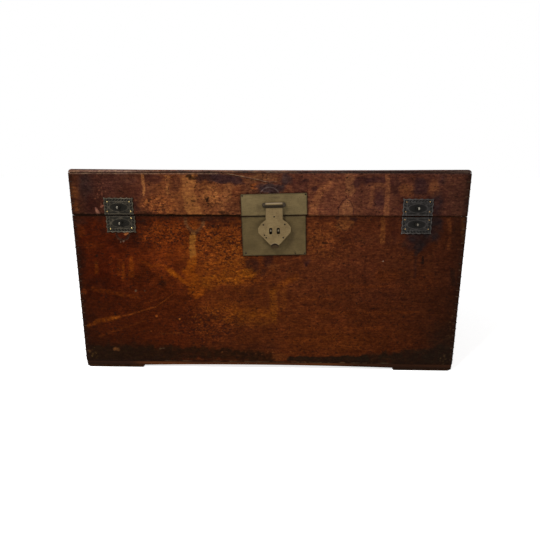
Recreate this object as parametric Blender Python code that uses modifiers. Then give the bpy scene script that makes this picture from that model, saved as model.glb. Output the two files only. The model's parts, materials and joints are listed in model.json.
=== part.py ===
"""Leather-covered wooden trunk: hinged lid, front hasp lock, clasp plates and side bail handles.

Metres, +Z up. The front faces -Y and the width runs along X. The origin lies on the floor at
the centre of the footprint, front hardware included.
"""

from math import acos, cos, pi, radians, sin, tan

import bmesh
import bpy
from mathutils import Matrix, Vector

# Trunk over the leather
WIDTH = 0.760
DEPTH = 0.500
HEIGHT = 0.404
SEAM = 0.317  # height of the line between lid and box
CORNER = 0.006  # rounding of the outer edges
GAP = 0.0003  # between pieces that touch
RIM_GAP = 0.0006  # between the wooden rims of lid and box

# Leather sheets
LEATHER = 0.002
SEAM_SETBACK = 0.0003  # from a sheet's edge to the seam line
TOP_TURN = 0.006  # how far the top sheet turns down over the edge
CORNER_SEAM = 0.05  # half angle left open at a stitched corner

# Boards
BOX_WALL = 0.014
LID_WALL = 0.013
LID_BOARD = 0.012
BASE_TOP = 0.0135
SKID_THICK = 0.0048
SKID_WIDTH = 0.122
SKID_ROUND = 0.0042
END_REACH = 0.0090  # how far the rounded ends of skids and base board run inwards
END_RISE = 0.0110  # and how far they run up
BOX_TAIL_PITCH = 0.060
LID_TAIL_PITCH = 0.036
TAIL_SHARE = 0.50  # of the pitch, at the tail's root
TAIL_SLOPE = 1 / 6

# Dust lip inside the rim
LIP_THICK = 0.006
LIP_DROP = 0.035
LIP_RISE = 0.008
LIP_CHAMFER = 0.002

# Rear hinges
HINGE_END = 0.160  # from the trunk's end to a hinge's middle
HINGE_LENGTH = 0.060
HINGE_INSET = 0.005  # from the back face to the axis
HINGE_GROOVE = radians(53)  # half angle of the groove that stops the lid
KNUCKLE = 0.0035
LEAF_THICK = 0.0015
LEAF_REACH = 0.0100
HINGE_PIN = 0.0015
RUNNING = 0.0005  # clearance of a turning piece
END_PLAY = 0.0004  # between two knuckles

# Lock on the front
LOCK_X = 0.0125
LOCK_TILT = radians(1.6)
LOCK_WIDTH = 0.126
LOCK_UPPER = 0.042
LOCK_LOWER = 0.0765
LOWER_TRIM = 0.0026  # the lower plate is shorter at its right end
PLATE_SPLIT = 0.0018  # between the plates of lid and box
PLATE_THICK = 0.0015
PLATE_ROUND = 0.0015
HASP_AXIS = 0.021  # above the seam
HASP_BARREL = 0.0044
HASP_NECK = 0.0333
HASP_THICK = 0.0018
HASP_REST = radians(4.5)  # how far the hasp leans out at rest
SHIELD_WIDTH = 0.0630
SHIELD_TOP = 0.028  # below the hasp's axis, as the next three
SHIELD_WIDEST = 0.0475
SHIELD_TIP = 0.0755
SHIELD_END = 0.0820
TIP_WIDTH = 0.0165
SLOT_PITCH = 0.0145
SLOT_WIDTH = 0.0062
SLOT_HEIGHT = 0.0120
STAPLE_DROP = 0.049  # below the hasp's axis
STAPLE_THICK = 0.0034
STAPLE_WIDTH = 0.0080
STAPLE_HOLE = 0.0016
STAPLE_BEHIND = 0.0005  # how far its nose stays behind the hasp
EYE_LENGTH = 0.0038
PIN_HEAD = 0.0010
SHANK_REACH = 0.0130  # into the wall, from the leather
SHANK = 0.0016
HOLE = 0.0005  # added round a shank

# Clasp plates beside the lock
CLASP_END = {  # from the trunk's end to the middle of each plate
    "upper": {"left": 0.0935, "right": 0.0958},
    "lower": {"left": 0.0957, "right": 0.0960},
}
CLASP_WIDTH = 0.0565
CLASP_HEIGHT = 0.0322
CLASP_THICK = 0.0020
CLASP_BORDER = 0.0058
CLASP_SUNK = 0.0006
CLASP_WAVE = 0.0006
CLASP_WAVES = (3, 5, 3)
DISH_LONG = 0.0160
DISH_SHORT = 0.0080
DISH_DEEP = 0.0007
STUD_RISE = 0.0152  # from the seam to the stud
STUD = 0.0030
STUD_LENGTH = 0.0085

# Side bail handles
BAIL_HEIGHT = 0.215
BAIL_SPAN = 0.104
BAIL_DROP = 0.046
BAIL_GRIP = 0.0042
BAIL_END = 0.0023
BAIL_OUT = 0.0115  # from the leather to the axis
BAIL_EYE = 0.0056
ROSETTE = 0.0110
ROSETTE_RISE = 0.0024

ARC = 4  # steps of a rounded corner
ROUND = 16  # sides of a turned piece

FRONT = Matrix.Rotation(radians(90), 4, "X")  # outline upright, thickness towards -Y
ACROSS = Matrix(((0, 0, 1, 0), (1, 0, 0, 0), (0, 1, 0, 0), (0, 0, 0, 1)))  # profile run along X

# Values that follow from the sizes above
INSET = LEATHER + GAP
WOOD_ROUND = CORNER - INSET
HALF_X = WIDTH / 2 - INSET
HALF_Y = DEPTH / 2 - INSET
BOX_BOTTOM = BASE_TOP + GAP
BOX_RIM = SEAM - RIM_GAP / 2
LID_RIM = SEAM + RIM_GAP / 2
LID_BOARD_TOP = HEIGHT - INSET
LID_BOARD_UNDER = LID_BOARD_TOP - LID_BOARD
LID_WALL_TOP = LID_BOARD_UNDER - GAP
PLATE_FACE = GAP + PLATE_THICK
HASP_OUT = PLATE_FACE + HASP_BARREL + RUNNING
STAPLE_OUT = HASP_OUT - HASP_THICK / 2 + STAPLE_DROP * sin(HASP_REST) - STAPLE_BEHIND
FRONT_REACH = HASP_OUT + SHIELD_TIP * sin(HASP_REST) + HASP_THICK / 2
BODY_Y = FRONT_REACH / 2
HINGE_Y = BODY_Y + DEPTH / 2 - HINGE_INSET
BORE = HINGE_PIN + RUNNING

for old in list(bpy.data.objects):
    bpy.data.objects.remove(old, do_unlink=True)

trunk = bpy.data.collections.new("leather_trunk")
tools = bpy.data.collections.new("cutters")
bpy.context.scene.collection.children.link(trunk)
bpy.context.scene.collection.children.link(tools)


def finish(name, colour, roughness, metallic):
    """Material with one plain colour."""
    material = bpy.data.materials.new(name)
    material.use_nodes = True
    shader = material.node_tree.nodes["Principled BSDF"]
    shader.inputs["Base Color"].default_value = (*colour, 1)
    shader.inputs["Roughness"].default_value = roughness
    shader.inputs["Metallic"].default_value = metallic
    material.diffuse_color = (*colour, 1)
    return material


BOX_SKIN = finish("lacquered_leather_box", (0.085, 0.020, 0.006), 0.42, 0.0)
LID_SKIN = finish("lacquered_leather_lid", (0.090, 0.029, 0.014), 0.46, 0.0)
CAMPHOR = finish("camphor_wood", (0.34, 0.17, 0.075), 0.60, 0.0)
STAINED = finish("stained_wood", (0.055, 0.018, 0.007), 0.50, 0.0)
BRASS = finish("aged_brass", (0.22, 0.165, 0.080), 0.45, 0.75)
BRONZE = finish("dark_bronze", (0.045, 0.038, 0.030), 0.42, 0.80)
STEEL = finish("hinge_pin_steel", (0.30, 0.29, 0.27), 0.35, 1.0)


def placed(name, mesh, frame):
    """Object for the mesh, standing in its frame."""
    piece = bpy.data.objects.new(name, mesh)
    bpy.context.scene.collection.objects.link(piece)
    piece.matrix_world = frame
    return piece


def tidy(mesh, shape):
    """Write a welded shape with outward faces and smooth rounds to the mesh."""
    bmesh.ops.remove_doubles(shape, verts=shape.verts, dist=1e-6)
    bmesh.ops.recalc_face_normals(shape, faces=shape.faces)
    shape.to_mesh(mesh)
    shape.free()
    mesh.shade_smooth()
    mesh.set_sharp_from_angle(angle=radians(35))


def at(x, y, z):
    return Matrix.Translation((x, y, z))


def plan(turn):
    """Frame of one side seen from above, its outside towards -Y before the turn."""
    return at(0, BODY_Y, 0) @ Matrix.Rotation(radians(turn), 4, "Z")


def facing(turn, distance):
    """Frame on one side: x along it, y up and z outward from the given distance."""
    return plan(turn) @ at(0, -distance, 0) @ FRONT


def block(name, low, high, frame=Matrix(), bevel=0):
    """Box between two corners, with its edges rounded where a bevel is given."""
    mesh = bpy.data.meshes.new(name)
    shape = bmesh.new()
    size = Vector(high) - Vector(low)
    middle = (Vector(high) + Vector(low)) / 2
    matrix = Matrix.Translation(middle) @ Matrix.Diagonal((*size, 1))
    bmesh.ops.create_cube(shape, size=1, matrix=matrix)
    tidy(mesh, shape)
    piece = placed(name, mesh, frame)
    if bevel:
        rounded = piece.modifiers.new("rounded", "BEVEL")
        rounded.width = bevel
        rounded.segments = ARC - 1
    return piece


def extruded(name, outlines, low, high, frame=Matrix()):
    """Prism of the outer outline, with further outlines as holes or islands, from low to high."""
    curve = bpy.data.curves.new(name, "CURVE")
    curve.dimensions = "2D"
    curve.fill_mode = "BOTH"
    curve.extrude = (high - low) / 2
    for outline in outlines:
        spline = curve.splines.new("POLY")
        spline.points.add(len(outline) - 1)
        spline.use_cyclic_u = True
        for point, (x, y) in zip(spline.points, outline):
            point.co = (x, y, 0, 1)
    drawn = placed(name, curve, Matrix())
    seen = drawn.evaluated_get(bpy.context.evaluated_depsgraph_get())
    mesh = bpy.data.meshes.new_from_object(seen)
    bpy.data.objects.remove(drawn)
    bpy.data.curves.remove(curve)
    shape = bmesh.new()
    shape.from_mesh(mesh)
    bmesh.ops.translate(shape, verts=shape.verts, vec=(0, 0, (low + high) / 2))
    tidy(mesh, shape)
    return placed(name, mesh, frame)


def rod(name, radius, low, high, frame=Matrix(), sides=ROUND):
    """Cylinder along the frame's z."""
    mesh = bpy.data.meshes.new(name)
    shape = bmesh.new()
    bmesh.ops.create_cone(
        shape,
        cap_ends=True,
        segments=sides,
        radius1=radius,
        radius2=radius,
        depth=high - low,
        matrix=Matrix.Translation((0, 0, (low + high) / 2)),
    )
    tidy(mesh, shape)
    return placed(name, mesh, frame)


def turned(name, profile, frame, ring=False):
    """Profile of (radius, height), listed down its outer side, turned about the frame's z."""
    mesh = bpy.data.meshes.new(name)
    points = [(radius, 0, height) for radius, height in profile]
    edges = [(i, i + 1) for i in range(len(points) - 1)]
    if ring:
        edges.append((len(points) - 1, 0))
    mesh.from_pydata(points, edges, [])
    piece = placed(name, mesh, frame)
    screw = piece.modifiers.new("turned", "SCREW")
    screw.steps = ROUND
    screw.render_steps = ROUND
    screw.use_merge_vertices = True
    screw.merge_threshold = 1e-5
    screw.use_smooth_shade = True
    return piece


def shape_with(piece, operation, *others):
    """Cut, join or trim the piece by other shapes, which become cutters."""
    for other in others:
        boolean = piece.modifiers.new(operation.lower(), "BOOLEAN")
        boolean.operation = operation
        boolean.solver = "EXACT"
        boolean.object = other
        other.hide_render = True
        other.display_type = "WIRE"
        if other.name not in tools.objects:
            tools.objects.link(other)
            bpy.context.scene.collection.objects.unlink(other)


def axis_empty(name, frame, parent=None):
    """Empty on a joint's axis, which carries the pieces that turn about it."""
    empty = placed(name, None, frame)
    trunk.objects.link(empty)
    bpy.context.scene.collection.objects.unlink(empty)
    bpy.context.view_layer.update()
    if parent:
        empty.parent = parent
        empty.matrix_parent_inverse = parent.matrix_world.inverted()
    return empty


def add(piece, material, parent):
    """Hand the finished piece to the trunk, with its material and the body that carries it."""
    piece.data.materials.append(material)
    trunk.objects.link(piece)
    bpy.context.scene.collection.objects.unlink(piece)
    piece.parent = parent
    piece.matrix_parent_inverse = parent.matrix_world.inverted()
    return piece


def fillet(*corners):
    """Outline through corners (x, y, radius), each rounded by an arc of its radius."""
    points = []
    for i, (x, y, radius) in enumerate(corners):
        here = Vector((x, y))
        if not radius:
            points.append((x, y))
            continue
        back = (Vector(corners[i - 1][:2]) - here).normalized()
        ahead = (Vector(corners[(i + 1) % len(corners)][:2]) - here).normalized()
        half = back.angle(ahead) / 2
        middle = here + (back + ahead).normalized() * (radius / sin(half))
        first = here + back * (radius / tan(half)) - middle
        last = here + ahead * (radius / tan(half)) - middle
        sweep = first.angle(last)
        for step in range(ARC + 1):
            part = step / ARC * sweep
            spoke = (first * sin(sweep - part) + last * sin(part)) / sin(sweep)
            points.append(tuple(middle + spoke))
    return points


def rectangle(low_x, low_y, high_x, high_y, radius=0):
    return fillet(
        (low_x, low_y, radius),
        (high_x, low_y, radius),
        (high_x, high_y, radius),
        (low_x, high_y, radius),
    )


def circle(x, y, radius, sides=12):
    steps = [2 * pi * i / sides for i in range(sides)]
    return [(x + radius * cos(angle), y + radius * sin(angle)) for angle in steps]


def mirrored(points):
    """The points on the other side of x = 0, in reverse order."""
    return [(-x, y) for x, y in reversed(points)]


# Bodies
SIDES = {"front": (0, WIDTH, DEPTH), "right": (90, DEPTH, WIDTH)}
SIDES |= {"back": (180, WIDTH, DEPTH), "left": (-90, DEPTH, WIDTH)}
LOCK = at(LOCK_X, BODY_Y - DEPTH / 2, SEAM) @ Matrix.Rotation(-LOCK_TILT, 4, "Y") @ FRONT
HASP = LOCK @ at(0, HASP_AXIS, HASP_OUT) @ Matrix.Rotation(-HASP_REST, 4, "X")
box_body = axis_empty("box_body", Matrix())
lid_axis = axis_empty("lid_axis", at(0, HINGE_Y, SEAM), box_body)
hasp_axis = axis_empty("hasp_axis", HASP, lid_axis)

# Base board on two skids, their outer ends rounded together
FOOTPRINT = plan(0)


def rounded_end(low, high):
    """Points up the quarter ellipse at the trunk's lower end, between two heights."""
    first, last = (acos(1 - min(z / END_RISE, 1)) for z in (low, high))
    turns = [first + (last - first) * i / ARC for i in range(ARC + 1)]
    reach = WIDTH / 2 - END_REACH
    return [(reach + END_REACH * sin(turn), END_RISE * (1 - cos(turn))) for turn in turns]


base_half = rounded_end(SKID_THICK + GAP, BASE_TOP) + [(WIDTH / 2, BASE_TOP)]
base_outline = base_half + mirrored(base_half)
base = extruded("base_board", [base_outline], -DEPTH - CORNER, CORNER, facing(0, DEPTH / 2))
base_trim = rectangle(-WIDTH / 2, -DEPTH / 2, WIDTH / 2, DEPTH / 2, CORNER)
shape_with(base, "INTERSECT", extruded("base_trim", [base_trim], 0, 2 * BASE_TOP, FOOTPRINT))
add(base, STAINED, box_body)
skid_foot = fillet(
    (WIDTH / 2 - SKID_WIDTH, SKID_THICK, 0),
    (WIDTH / 2 - SKID_WIDTH, 0, SKID_ROUND),
    (WIDTH / 2 - END_REACH, 0, 0),
)
skid_outline = skid_foot + rounded_end(0, SKID_THICK)[1:]
for side, outline in (("left", mirrored(skid_outline)), ("right", skid_outline)):
    skid = extruded(f"skid_{side}", [outline], -DEPTH, 0, facing(0, DEPTH / 2))
    add(skid, STAINED, box_body)

# Groove along the back edge and the seats of the two hinges
groove_reach = HINGE_INSET + CORNER
groove_half = groove_reach * tan(HINGE_GROOVE)
groove_outline = [(0, 0), (groove_reach, -groove_half), (groove_reach, groove_half)]
groove = extruded("back_groove", [groove_outline], -WIDTH, WIDTH, at(0, HINGE_Y, SEAM) @ ACROSS)
pin_reach = HINGE_LENGTH / 2 + 2 * GAP + HINGE_PIN
hinge_seats = []
HINGES = {"left": HINGE_END - WIDTH / 2, "right": WIDTH / 2 - HINGE_END}
for side, x in HINGES.items():
    seat_half = (HINGE_LENGTH / 2 + GAP, RIM_GAP / 2 + LEAF_THICK + GAP)
    seat = block(
        f"hinge_seat_{side}",
        (-seat_half[0], -LEAF_REACH - GAP, -seat_half[1]),
        (seat_half[0], 0, seat_half[1]),
        at(x, HINGE_Y, SEAM),
    )
    knuckle_room = rod(
        f"knuckle_room_{side}",
        KNUCKLE + RUNNING,
        -pin_reach,
        pin_reach,
        at(x, HINGE_Y, SEAM) @ ACROSS,
    )
    shape_with(seat, "UNION", knuckle_room)
    hinge_seats.append(seat)

# Holes for the shanks of the lock, the studs and the bail eyes
EYE_X = HASP_NECK / 2 + END_PLAY + EYE_LENGTH / 2
HOLE_FROM = -SHANK_REACH - HOLE
STAPLES = (-SLOT_PITCH / 2, SLOT_PITCH / 2)
staple_y = HASP_AXIS - STAPLE_DROP
staple_shank = STAPLE_WIDTH / 2 - STAPLE_HOLE
eye_holes = [circle(x, HASP_AXIS, SHANK + HOLE) for x in (-EYE_X, EYE_X)]
staple_holes = [
    rectangle(
        x - STAPLE_THICK / 2 - HOLE,
        staple_y - staple_shank - HOLE,
        x + STAPLE_THICK / 2 + HOLE,
        staple_y + staple_shank + HOLE,
    )
    for x in STAPLES
]
CLASPS = {
    level: {"left": end["left"] - WIDTH / 2, "right": WIDTH / 2 - end["right"]}
    for level, end in CLASP_END.items()
}
stud_holes = {
    "upper": [circle(x, SEAM + STUD_RISE, SHANK + HOLE) for x in CLASPS["upper"].values()],
    "lower": [circle(x, SEAM - STUD_RISE, SHANK + HOLE) for x in CLASPS["lower"].values()],
}
front_face = facing(0, DEPTH / 2)
bored = {
    "lid_front": [
        extruded("hasp_eye_holes", eye_holes, HOLE_FROM, CORNER, LOCK),
        extruded("upper_stud_holes", stud_holes["upper"], HOLE_FROM, CORNER, front_face),
    ],
    "box_front": [
        extruded("staple_holes", staple_holes, HOLE_FROM, CORNER, LOCK),
        extruded("lower_stud_holes", stud_holes["lower"], HOLE_FROM, CORNER, front_face),
    ],
}
bail_holes = [circle(x, BAIL_HEIGHT, SHANK + HOLE) for x in (-BAIL_SPAN / 2, BAIL_SPAN / 2)]
for side in ("left", "right"):
    turn, length, across = SIDES[side]
    frame = facing(turn, across / 2)
    holes = extruded(f"bail_holes_{side}", bail_holes, HOLE_FROM, CORNER, frame)
    bored[f"box_{side}"] = [holes]


def tail_corners(low, high, count, wall, spare):
    """Corners of the dovetails on one upright edge, each made larger by the spare."""
    pitch = (high - low) / count
    root = TAIL_SHARE * pitch / 2
    inner = HALF_Y - wall - GAP
    tails = []
    for i in range(count):
        middle = low + pitch * (i + 0.5)
        start = inner - 4 * spare
        end = HALF_Y + 4 * spare
        at_start = root + (start - inner) * TAIL_SLOPE + spare
        at_end = root + (end - inner) * TAIL_SLOPE + spare
        tails.append(
            [
                (start, middle - at_start),
                (end, middle - at_end),
                (end, middle + at_end),
                (start, middle + at_start),
            ]
        )
    return tails


def carcass(name, low, high, wall, pitch, parent):
    """Four boards dovetailed at the corners, between two heights."""
    count = max(1, round((high - low) / pitch))
    envelope_outline = rectangle(-HALF_X, -HALF_Y, HALF_X, HALF_Y, WOOD_ROUND)
    envelope = extruded(f"{name}_envelope", [envelope_outline], low - wall, high + wall, FOOTPRINT)
    sockets = []
    for side in ("left", "right"):
        frame = facing(SIDES[side][0], HALF_X)
        tails = tail_corners(low, high, count, wall, 0)
        inner = HALF_Y - wall - GAP
        edge = [(inner, low)] + [corner for tail in tails for corner in tail] + [(inner, high)]
        panel = extruded(f"{name}_{side}_panel", [edge + mirrored(edge)], -wall, 0, frame)
        shape_with(panel, "INTERSECT", envelope)
        shape_with(panel, "DIFFERENCE", groove, *bored.get(f"{name}_{side}", []))
        add(panel, CAMPHOR, parent)
        rooms = tail_corners(low, high, count, wall, GAP)
        rooms += [mirrored(room) for room in rooms]
        socket = extruded(f"{name}_sockets_{side}", rooms, -wall - GAP, wall, frame)
        sockets.append(socket)
    for side in ("front", "back"):
        low_corner = (-HALF_X, -HALF_Y, low)
        high_corner = (HALF_X, wall - HALF_Y, high)
        panel = block(f"{name}_{side}_panel", low_corner, high_corner, plan(SIDES[side][0]))
        shape_with(panel, "INTERSECT", envelope)
        shape_with(panel, "DIFFERENCE", *sockets, *bored.get(f"{name}_{side}", []))
        if side == "back":
            shape_with(panel, "DIFFERENCE", groove, *hinge_seats)
        add(panel, CAMPHOR, parent)


carcass("box", BOX_BOTTOM, BOX_RIM, BOX_WALL, BOX_TAIL_PITCH, box_body)
carcass("lid", LID_RIM, LID_WALL_TOP, LID_WALL, LID_TAIL_PITCH, lid_axis)
lid_board = block(
    "lid_top_board",
    (-HALF_X, -HALF_Y, LID_BOARD_UNDER),
    (HALF_X, HALF_Y, LID_BOARD_TOP),
    FOOTPRINT,
    WOOD_ROUND,
)
add(lid_board, CAMPHOR, lid_axis)


# Dust lip: strips fixed inside the box that stand up into the lid
def lip_strip(side, length, distance):
    profile = [
        (0, -LIP_DROP),
        (0, LIP_RISE - LIP_CHAMFER),
        (LIP_CHAMFER, LIP_RISE),
        (LIP_THICK, LIP_RISE),
        (LIP_THICK, -LIP_DROP),
    ]
    frame = plan(SIDES[side][0]) @ at(0, -distance, SEAM) @ ACROSS
    strip = extruded(f"box_lip_{side}", [profile], -length / 2, length / 2, frame)
    add(strip, CAMPHOR, box_body)


inner_x = HALF_X - BOX_WALL - GAP
inner_y = HALF_Y - BOX_WALL - GAP
for side in ("front", "back"):
    lip_strip(side, 2 * inner_x, inner_y)
for side in ("left", "right"):
    lip_strip(side, 2 * (inner_y - LIP_THICK - GAP), inner_x)


# Leather: sheets that wrap half of each corner, and a top sheet turned over the edge
def sheet_outline(length, across):
    """Plan of a sheet: straight along its side, then round to the middle of both corners."""
    x = length / 2 - CORNER
    y = CORNER - across / 2
    steps = [-pi / 2 + (pi / 4 - CORNER_SEAM) * i / ARC for i in range(ARC + 1)]
    outer = [(x + CORNER * cos(a), y + CORNER * sin(a)) for a in steps]
    within = CORNER - LEATHER
    inner = [(x + within * cos(a), y + within * sin(a)) for a in reversed(steps)]
    half = outer + inner
    return half + mirrored(half)


for name, low, high, skin, parent in (
    ("box", BASE_TOP + GAP, SEAM - SEAM_SETBACK, BOX_SKIN, box_body),
    ("lid", SEAM + SEAM_SETBACK, HEIGHT - TOP_TURN - GAP, LID_SKIN, lid_axis),
):
    for side, (turn, length, across) in SIDES.items():
        outline = sheet_outline(length, across)
        sheet = extruded(f"{name}_leather_{side}", [outline], low, high, plan(turn))
        shape_with(sheet, "DIFFERENCE", *bored.get(f"{name}_{side}", []))
        if side != "front":
            shape_with(sheet, "DIFFERENCE", groove)
        add(sheet, skin, parent)

top_under = HEIGHT - 4 * TOP_TURN
top_sheet = block(
    "lid_leather_top",
    (-WIDTH / 2, -DEPTH / 2, top_under),
    (WIDTH / 2, DEPTH / 2, HEIGHT),
    FOOTPRINT,
    CORNER,
)
top_inside = block(
    "top_sheet_inside",
    (LEATHER - WIDTH / 2, LEATHER - DEPTH / 2, top_under - CORNER),
    (WIDTH / 2 - LEATHER, DEPTH / 2 - LEATHER, HEIGHT - LEATHER),
    FOOTPRINT,
    CORNER - LEATHER,
)
top_below = block(
    "top_sheet_below",
    (-WIDTH, -DEPTH, 0),
    (WIDTH, DEPTH, HEIGHT - TOP_TURN),
    FOOTPRINT,
)
shape_with(top_sheet, "DIFFERENCE", top_below, top_inside)
add(top_sheet, LID_SKIN, lid_axis)

# Rear hinges: two leaves with interleaved knuckles on a headed pin
third = HINGE_LENGTH / 6
notch = KNUCKLE + 2 * RUNNING
wide = HINGE_LENGTH / 2
box_knuckle = third + END_PLAY / 2
lid_knuckle = third - END_PLAY / 2
leaf_edges = {
    "box": [(wide, 0), (box_knuckle, 0), (box_knuckle, -notch)],
    "lid": [(wide, -notch), (lid_knuckle, -notch), (lid_knuckle, 0)],
}
leaf_knuckles = {
    "box": [(-wide, -box_knuckle), (box_knuckle, wide)],
    "lid": [(-lid_knuckle, lid_knuckle)],
}
leaf_levels = {
    "box": (-RIM_GAP / 2 - LEAF_THICK, -RIM_GAP / 2),
    "lid": (RIM_GAP / 2, RIM_GAP / 2 + LEAF_THICK),
}
head = HINGE_PIN + RUNNING
head_from = wide + GAP
pin_side = [(0, head_from + HINGE_PIN), (head, head_from + RUNNING), (head, head_from)]
pin_side += [(HINGE_PIN, head_from)]
pin_profile = pin_side + [(radius, -height) for radius, height in reversed(pin_side)]
for side, x in HINGES.items():
    frame = at(x, HINGE_Y, SEAM)
    bore = rod(f"hinge_bore_{side}", BORE, -2 * wide, 2 * wide, frame @ ACROSS)
    for part, parent in (("box", box_body), ("lid", lid_axis)):
        edge = [(wide, -LEAF_REACH)] + leaf_edges[part]
        leaf = extruded(
            f"hinge_leaf_{part}_{side}",
            [edge + mirrored(edge)],
            *leaf_levels[part],
            frame,
        )
        for i, (low, high) in enumerate(leaf_knuckles[part]):
            knuckle = rod(f"{part}_knuckle_{side}_{i}", KNUCKLE, low, high, frame @ ACROSS)
            shape_with(leaf, "UNION", knuckle)
        shape_with(leaf, "DIFFERENCE", bore)
        add(leaf, BRASS, parent)
    pin = turned(f"hinge_pin_{side}", pin_profile, frame @ ACROSS)
    add(pin, STEEL, box_body)


# Lock: two plates, a hasp on a pin between two eyes, and two staples
def eye_post(name, frame, ring, bore, length, material, parent, out):
    """Ring whose hole runs along the frame's x, on a shank driven into the wall behind it."""
    post = rod(name, ring, -length / 2, length / 2, frame @ ACROSS)
    shank = rod(f"{name}_shank", SHANK, -out - SHANK_REACH, -bore, frame, 12)
    hole = rod(f"{name}_hole", bore, -length, length, frame @ ACROSS)
    shape_with(post, "UNION", shank)
    shape_with(post, "DIFFERENCE", hole)
    add(post, material, parent)


half_lock = LOCK_WIDTH / 2
half_split = PLATE_SPLIT / 2
upper_outline = rectangle(-half_lock, half_split, half_lock, LOCK_UPPER, PLATE_ROUND)
lower_right = half_lock - LOWER_TRIM
lower_outline = rectangle(-half_lock, -LOCK_LOWER, lower_right, -half_split, PLATE_ROUND)
upper = extruded("lock_plate_upper", [upper_outline, *eye_holes], GAP, PLATE_FACE, LOCK)
lower = extruded("lock_plate_lower", [lower_outline, *staple_holes], GAP, PLATE_FACE, LOCK)
add(upper, BRASS, lid_axis)
add(lower, BRASS, box_body)

for side, x in (("left", -EYE_X), ("right", EYE_X)):
    frame = LOCK @ at(x, HASP_AXIS, HASP_OUT)
    name = f"hasp_eye_{side}"
    eye_post(name, frame, HASP_BARREL, BORE, EYE_LENGTH, BRASS, lid_axis, HASP_OUT)

head_from = EYE_X + EYE_LENGTH / 2 + GAP
cap = HASP_BARREL - RUNNING
cap_side = [(0, head_from + PIN_HEAD), (cap / 2, head_from + PIN_HEAD)]
cap_side += [(cap, head_from + PIN_HEAD / 2)]
cap_side += [(cap, head_from), (HINGE_PIN, head_from)]
cap_profile = cap_side + [(radius, -height) for radius, height in reversed(cap_side)]
hasp_pin = turned("hasp_pin", cap_profile, LOCK @ at(0, HASP_AXIS, HASP_OUT) @ ACROSS)
add(hasp_pin, BRASS, lid_axis)

neck = HASP_NECK / 2
shield = SHIELD_WIDTH / 2
shield_half = [
    (neck, 0, 0),
    (neck, -SHIELD_TOP, HASP_THICK),
    (neck + 0.55 * (shield - neck), -SHIELD_TOP - 0.30 * (SHIELD_WIDEST - SHIELD_TOP), 0.005),
    (shield, -SHIELD_WIDEST + 0.0045, 0.005),
    (shield - 0.0008, -SHIELD_WIDEST - 0.0045, 0.006),
    (TIP_WIDTH / 2, -SHIELD_TIP, HASP_THICK),
]
shield_outline = fillet(*shield_half, *[(-x, y, r) for x, y, r in reversed(shield_half)])
slots = [
    rectangle(
        x - SLOT_WIDTH / 2,
        -STAPLE_DROP - SLOT_HEIGHT / 2,
        x + SLOT_WIDTH / 2,
        -STAPLE_DROP + SLOT_HEIGHT / 2,
        SLOT_WIDTH / 3,
    )
    for x in STAPLES
]
thin = HASP_THICK / 2
hasp = extruded("hasp", [shield_outline, *slots], -thin, thin, HASP)
barrel = rod("hasp_barrel", HASP_BARREL, -neck, neck, HASP @ ACROSS)
tongue_bend = SHIELD_END - SHIELD_TIP
tongue_outline = [
    (HASP_THICK - SHIELD_TIP, -thin),
    (HASP_THICK - SHIELD_TIP, thin),
    (-SHIELD_TIP, thin),
    (-SHIELD_END, thin - 0.4 * tongue_bend),
    (-SHIELD_END + 0.4 * HASP_THICK, -thin - 0.4 * tongue_bend),
    (-SHIELD_TIP, -thin),
]
tongue_half = TIP_WIDTH / 2 - HASP_THICK / 2
tongue = extruded("hasp_tongue", [tongue_outline], -tongue_half, tongue_half, HASP @ ACROSS)
hasp_bore = rod("hasp_bore", BORE, -2 * neck, 2 * neck, HASP @ ACROSS)
shape_with(hasp, "UNION", barrel, tongue)
shape_with(hasp, "DIFFERENCE", hasp_bore)
add(hasp, BRASS, hasp_axis)

nose = STAPLE_WIDTH / 2
staple_outline = fillet(
    (-staple_shank, -SHANK_REACH, 0),
    (staple_shank, -SHANK_REACH, 0),
    (staple_shank, PLATE_FACE + GAP, 0),
    (nose, PLATE_FACE + GAP, 0),
    (nose, STAPLE_OUT, 0.95 * nose),
    (-nose, STAPLE_OUT, 0.95 * nose),
    (-nose, PLATE_FACE + GAP, 0),
    (-staple_shank, PLATE_FACE + GAP, 0),
)
staple_hole = circle(0, STAPLE_OUT - 2 * STAPLE_HOLE, STAPLE_HOLE)
for side, x in zip(("left", "right"), STAPLES):
    frame = LOCK @ at(x, staple_y, 0) @ ACROSS
    outlines = [staple_outline, staple_hole]
    half = STAPLE_THICK / 2
    add(extruded(f"lock_staple_{side}", outlines, -half, half, frame), BRASS, box_body)


# Clasp plates: scalloped on three sides, sunk inside a border, dished round the stud
def scalloped(near, far):
    """Outline from the straight seam edge round the three waved sides."""
    half = CLASP_WIDTH / 2
    corners = [Vector(c) for c in ((half, near), (half, far), (-half, far), (-half, near))]
    points = []
    for start, end, waves in zip(corners, corners[1:], CLASP_WAVES):
        along = end - start
        outward = Vector((along.y, -along.x)).normalized() * CLASP_WAVE
        steps = 4 * waves
        for step in range(1 if points else 0, steps):
            wave = cos(2 * pi * waves * step / steps)
            points.append(tuple(start + along * step / steps + outward * wave))
        points.append(tuple(end + outward + along.normalized() * CLASP_WAVE))
    points[-1] = (-half - CLASP_WAVE, near)
    return points


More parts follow.
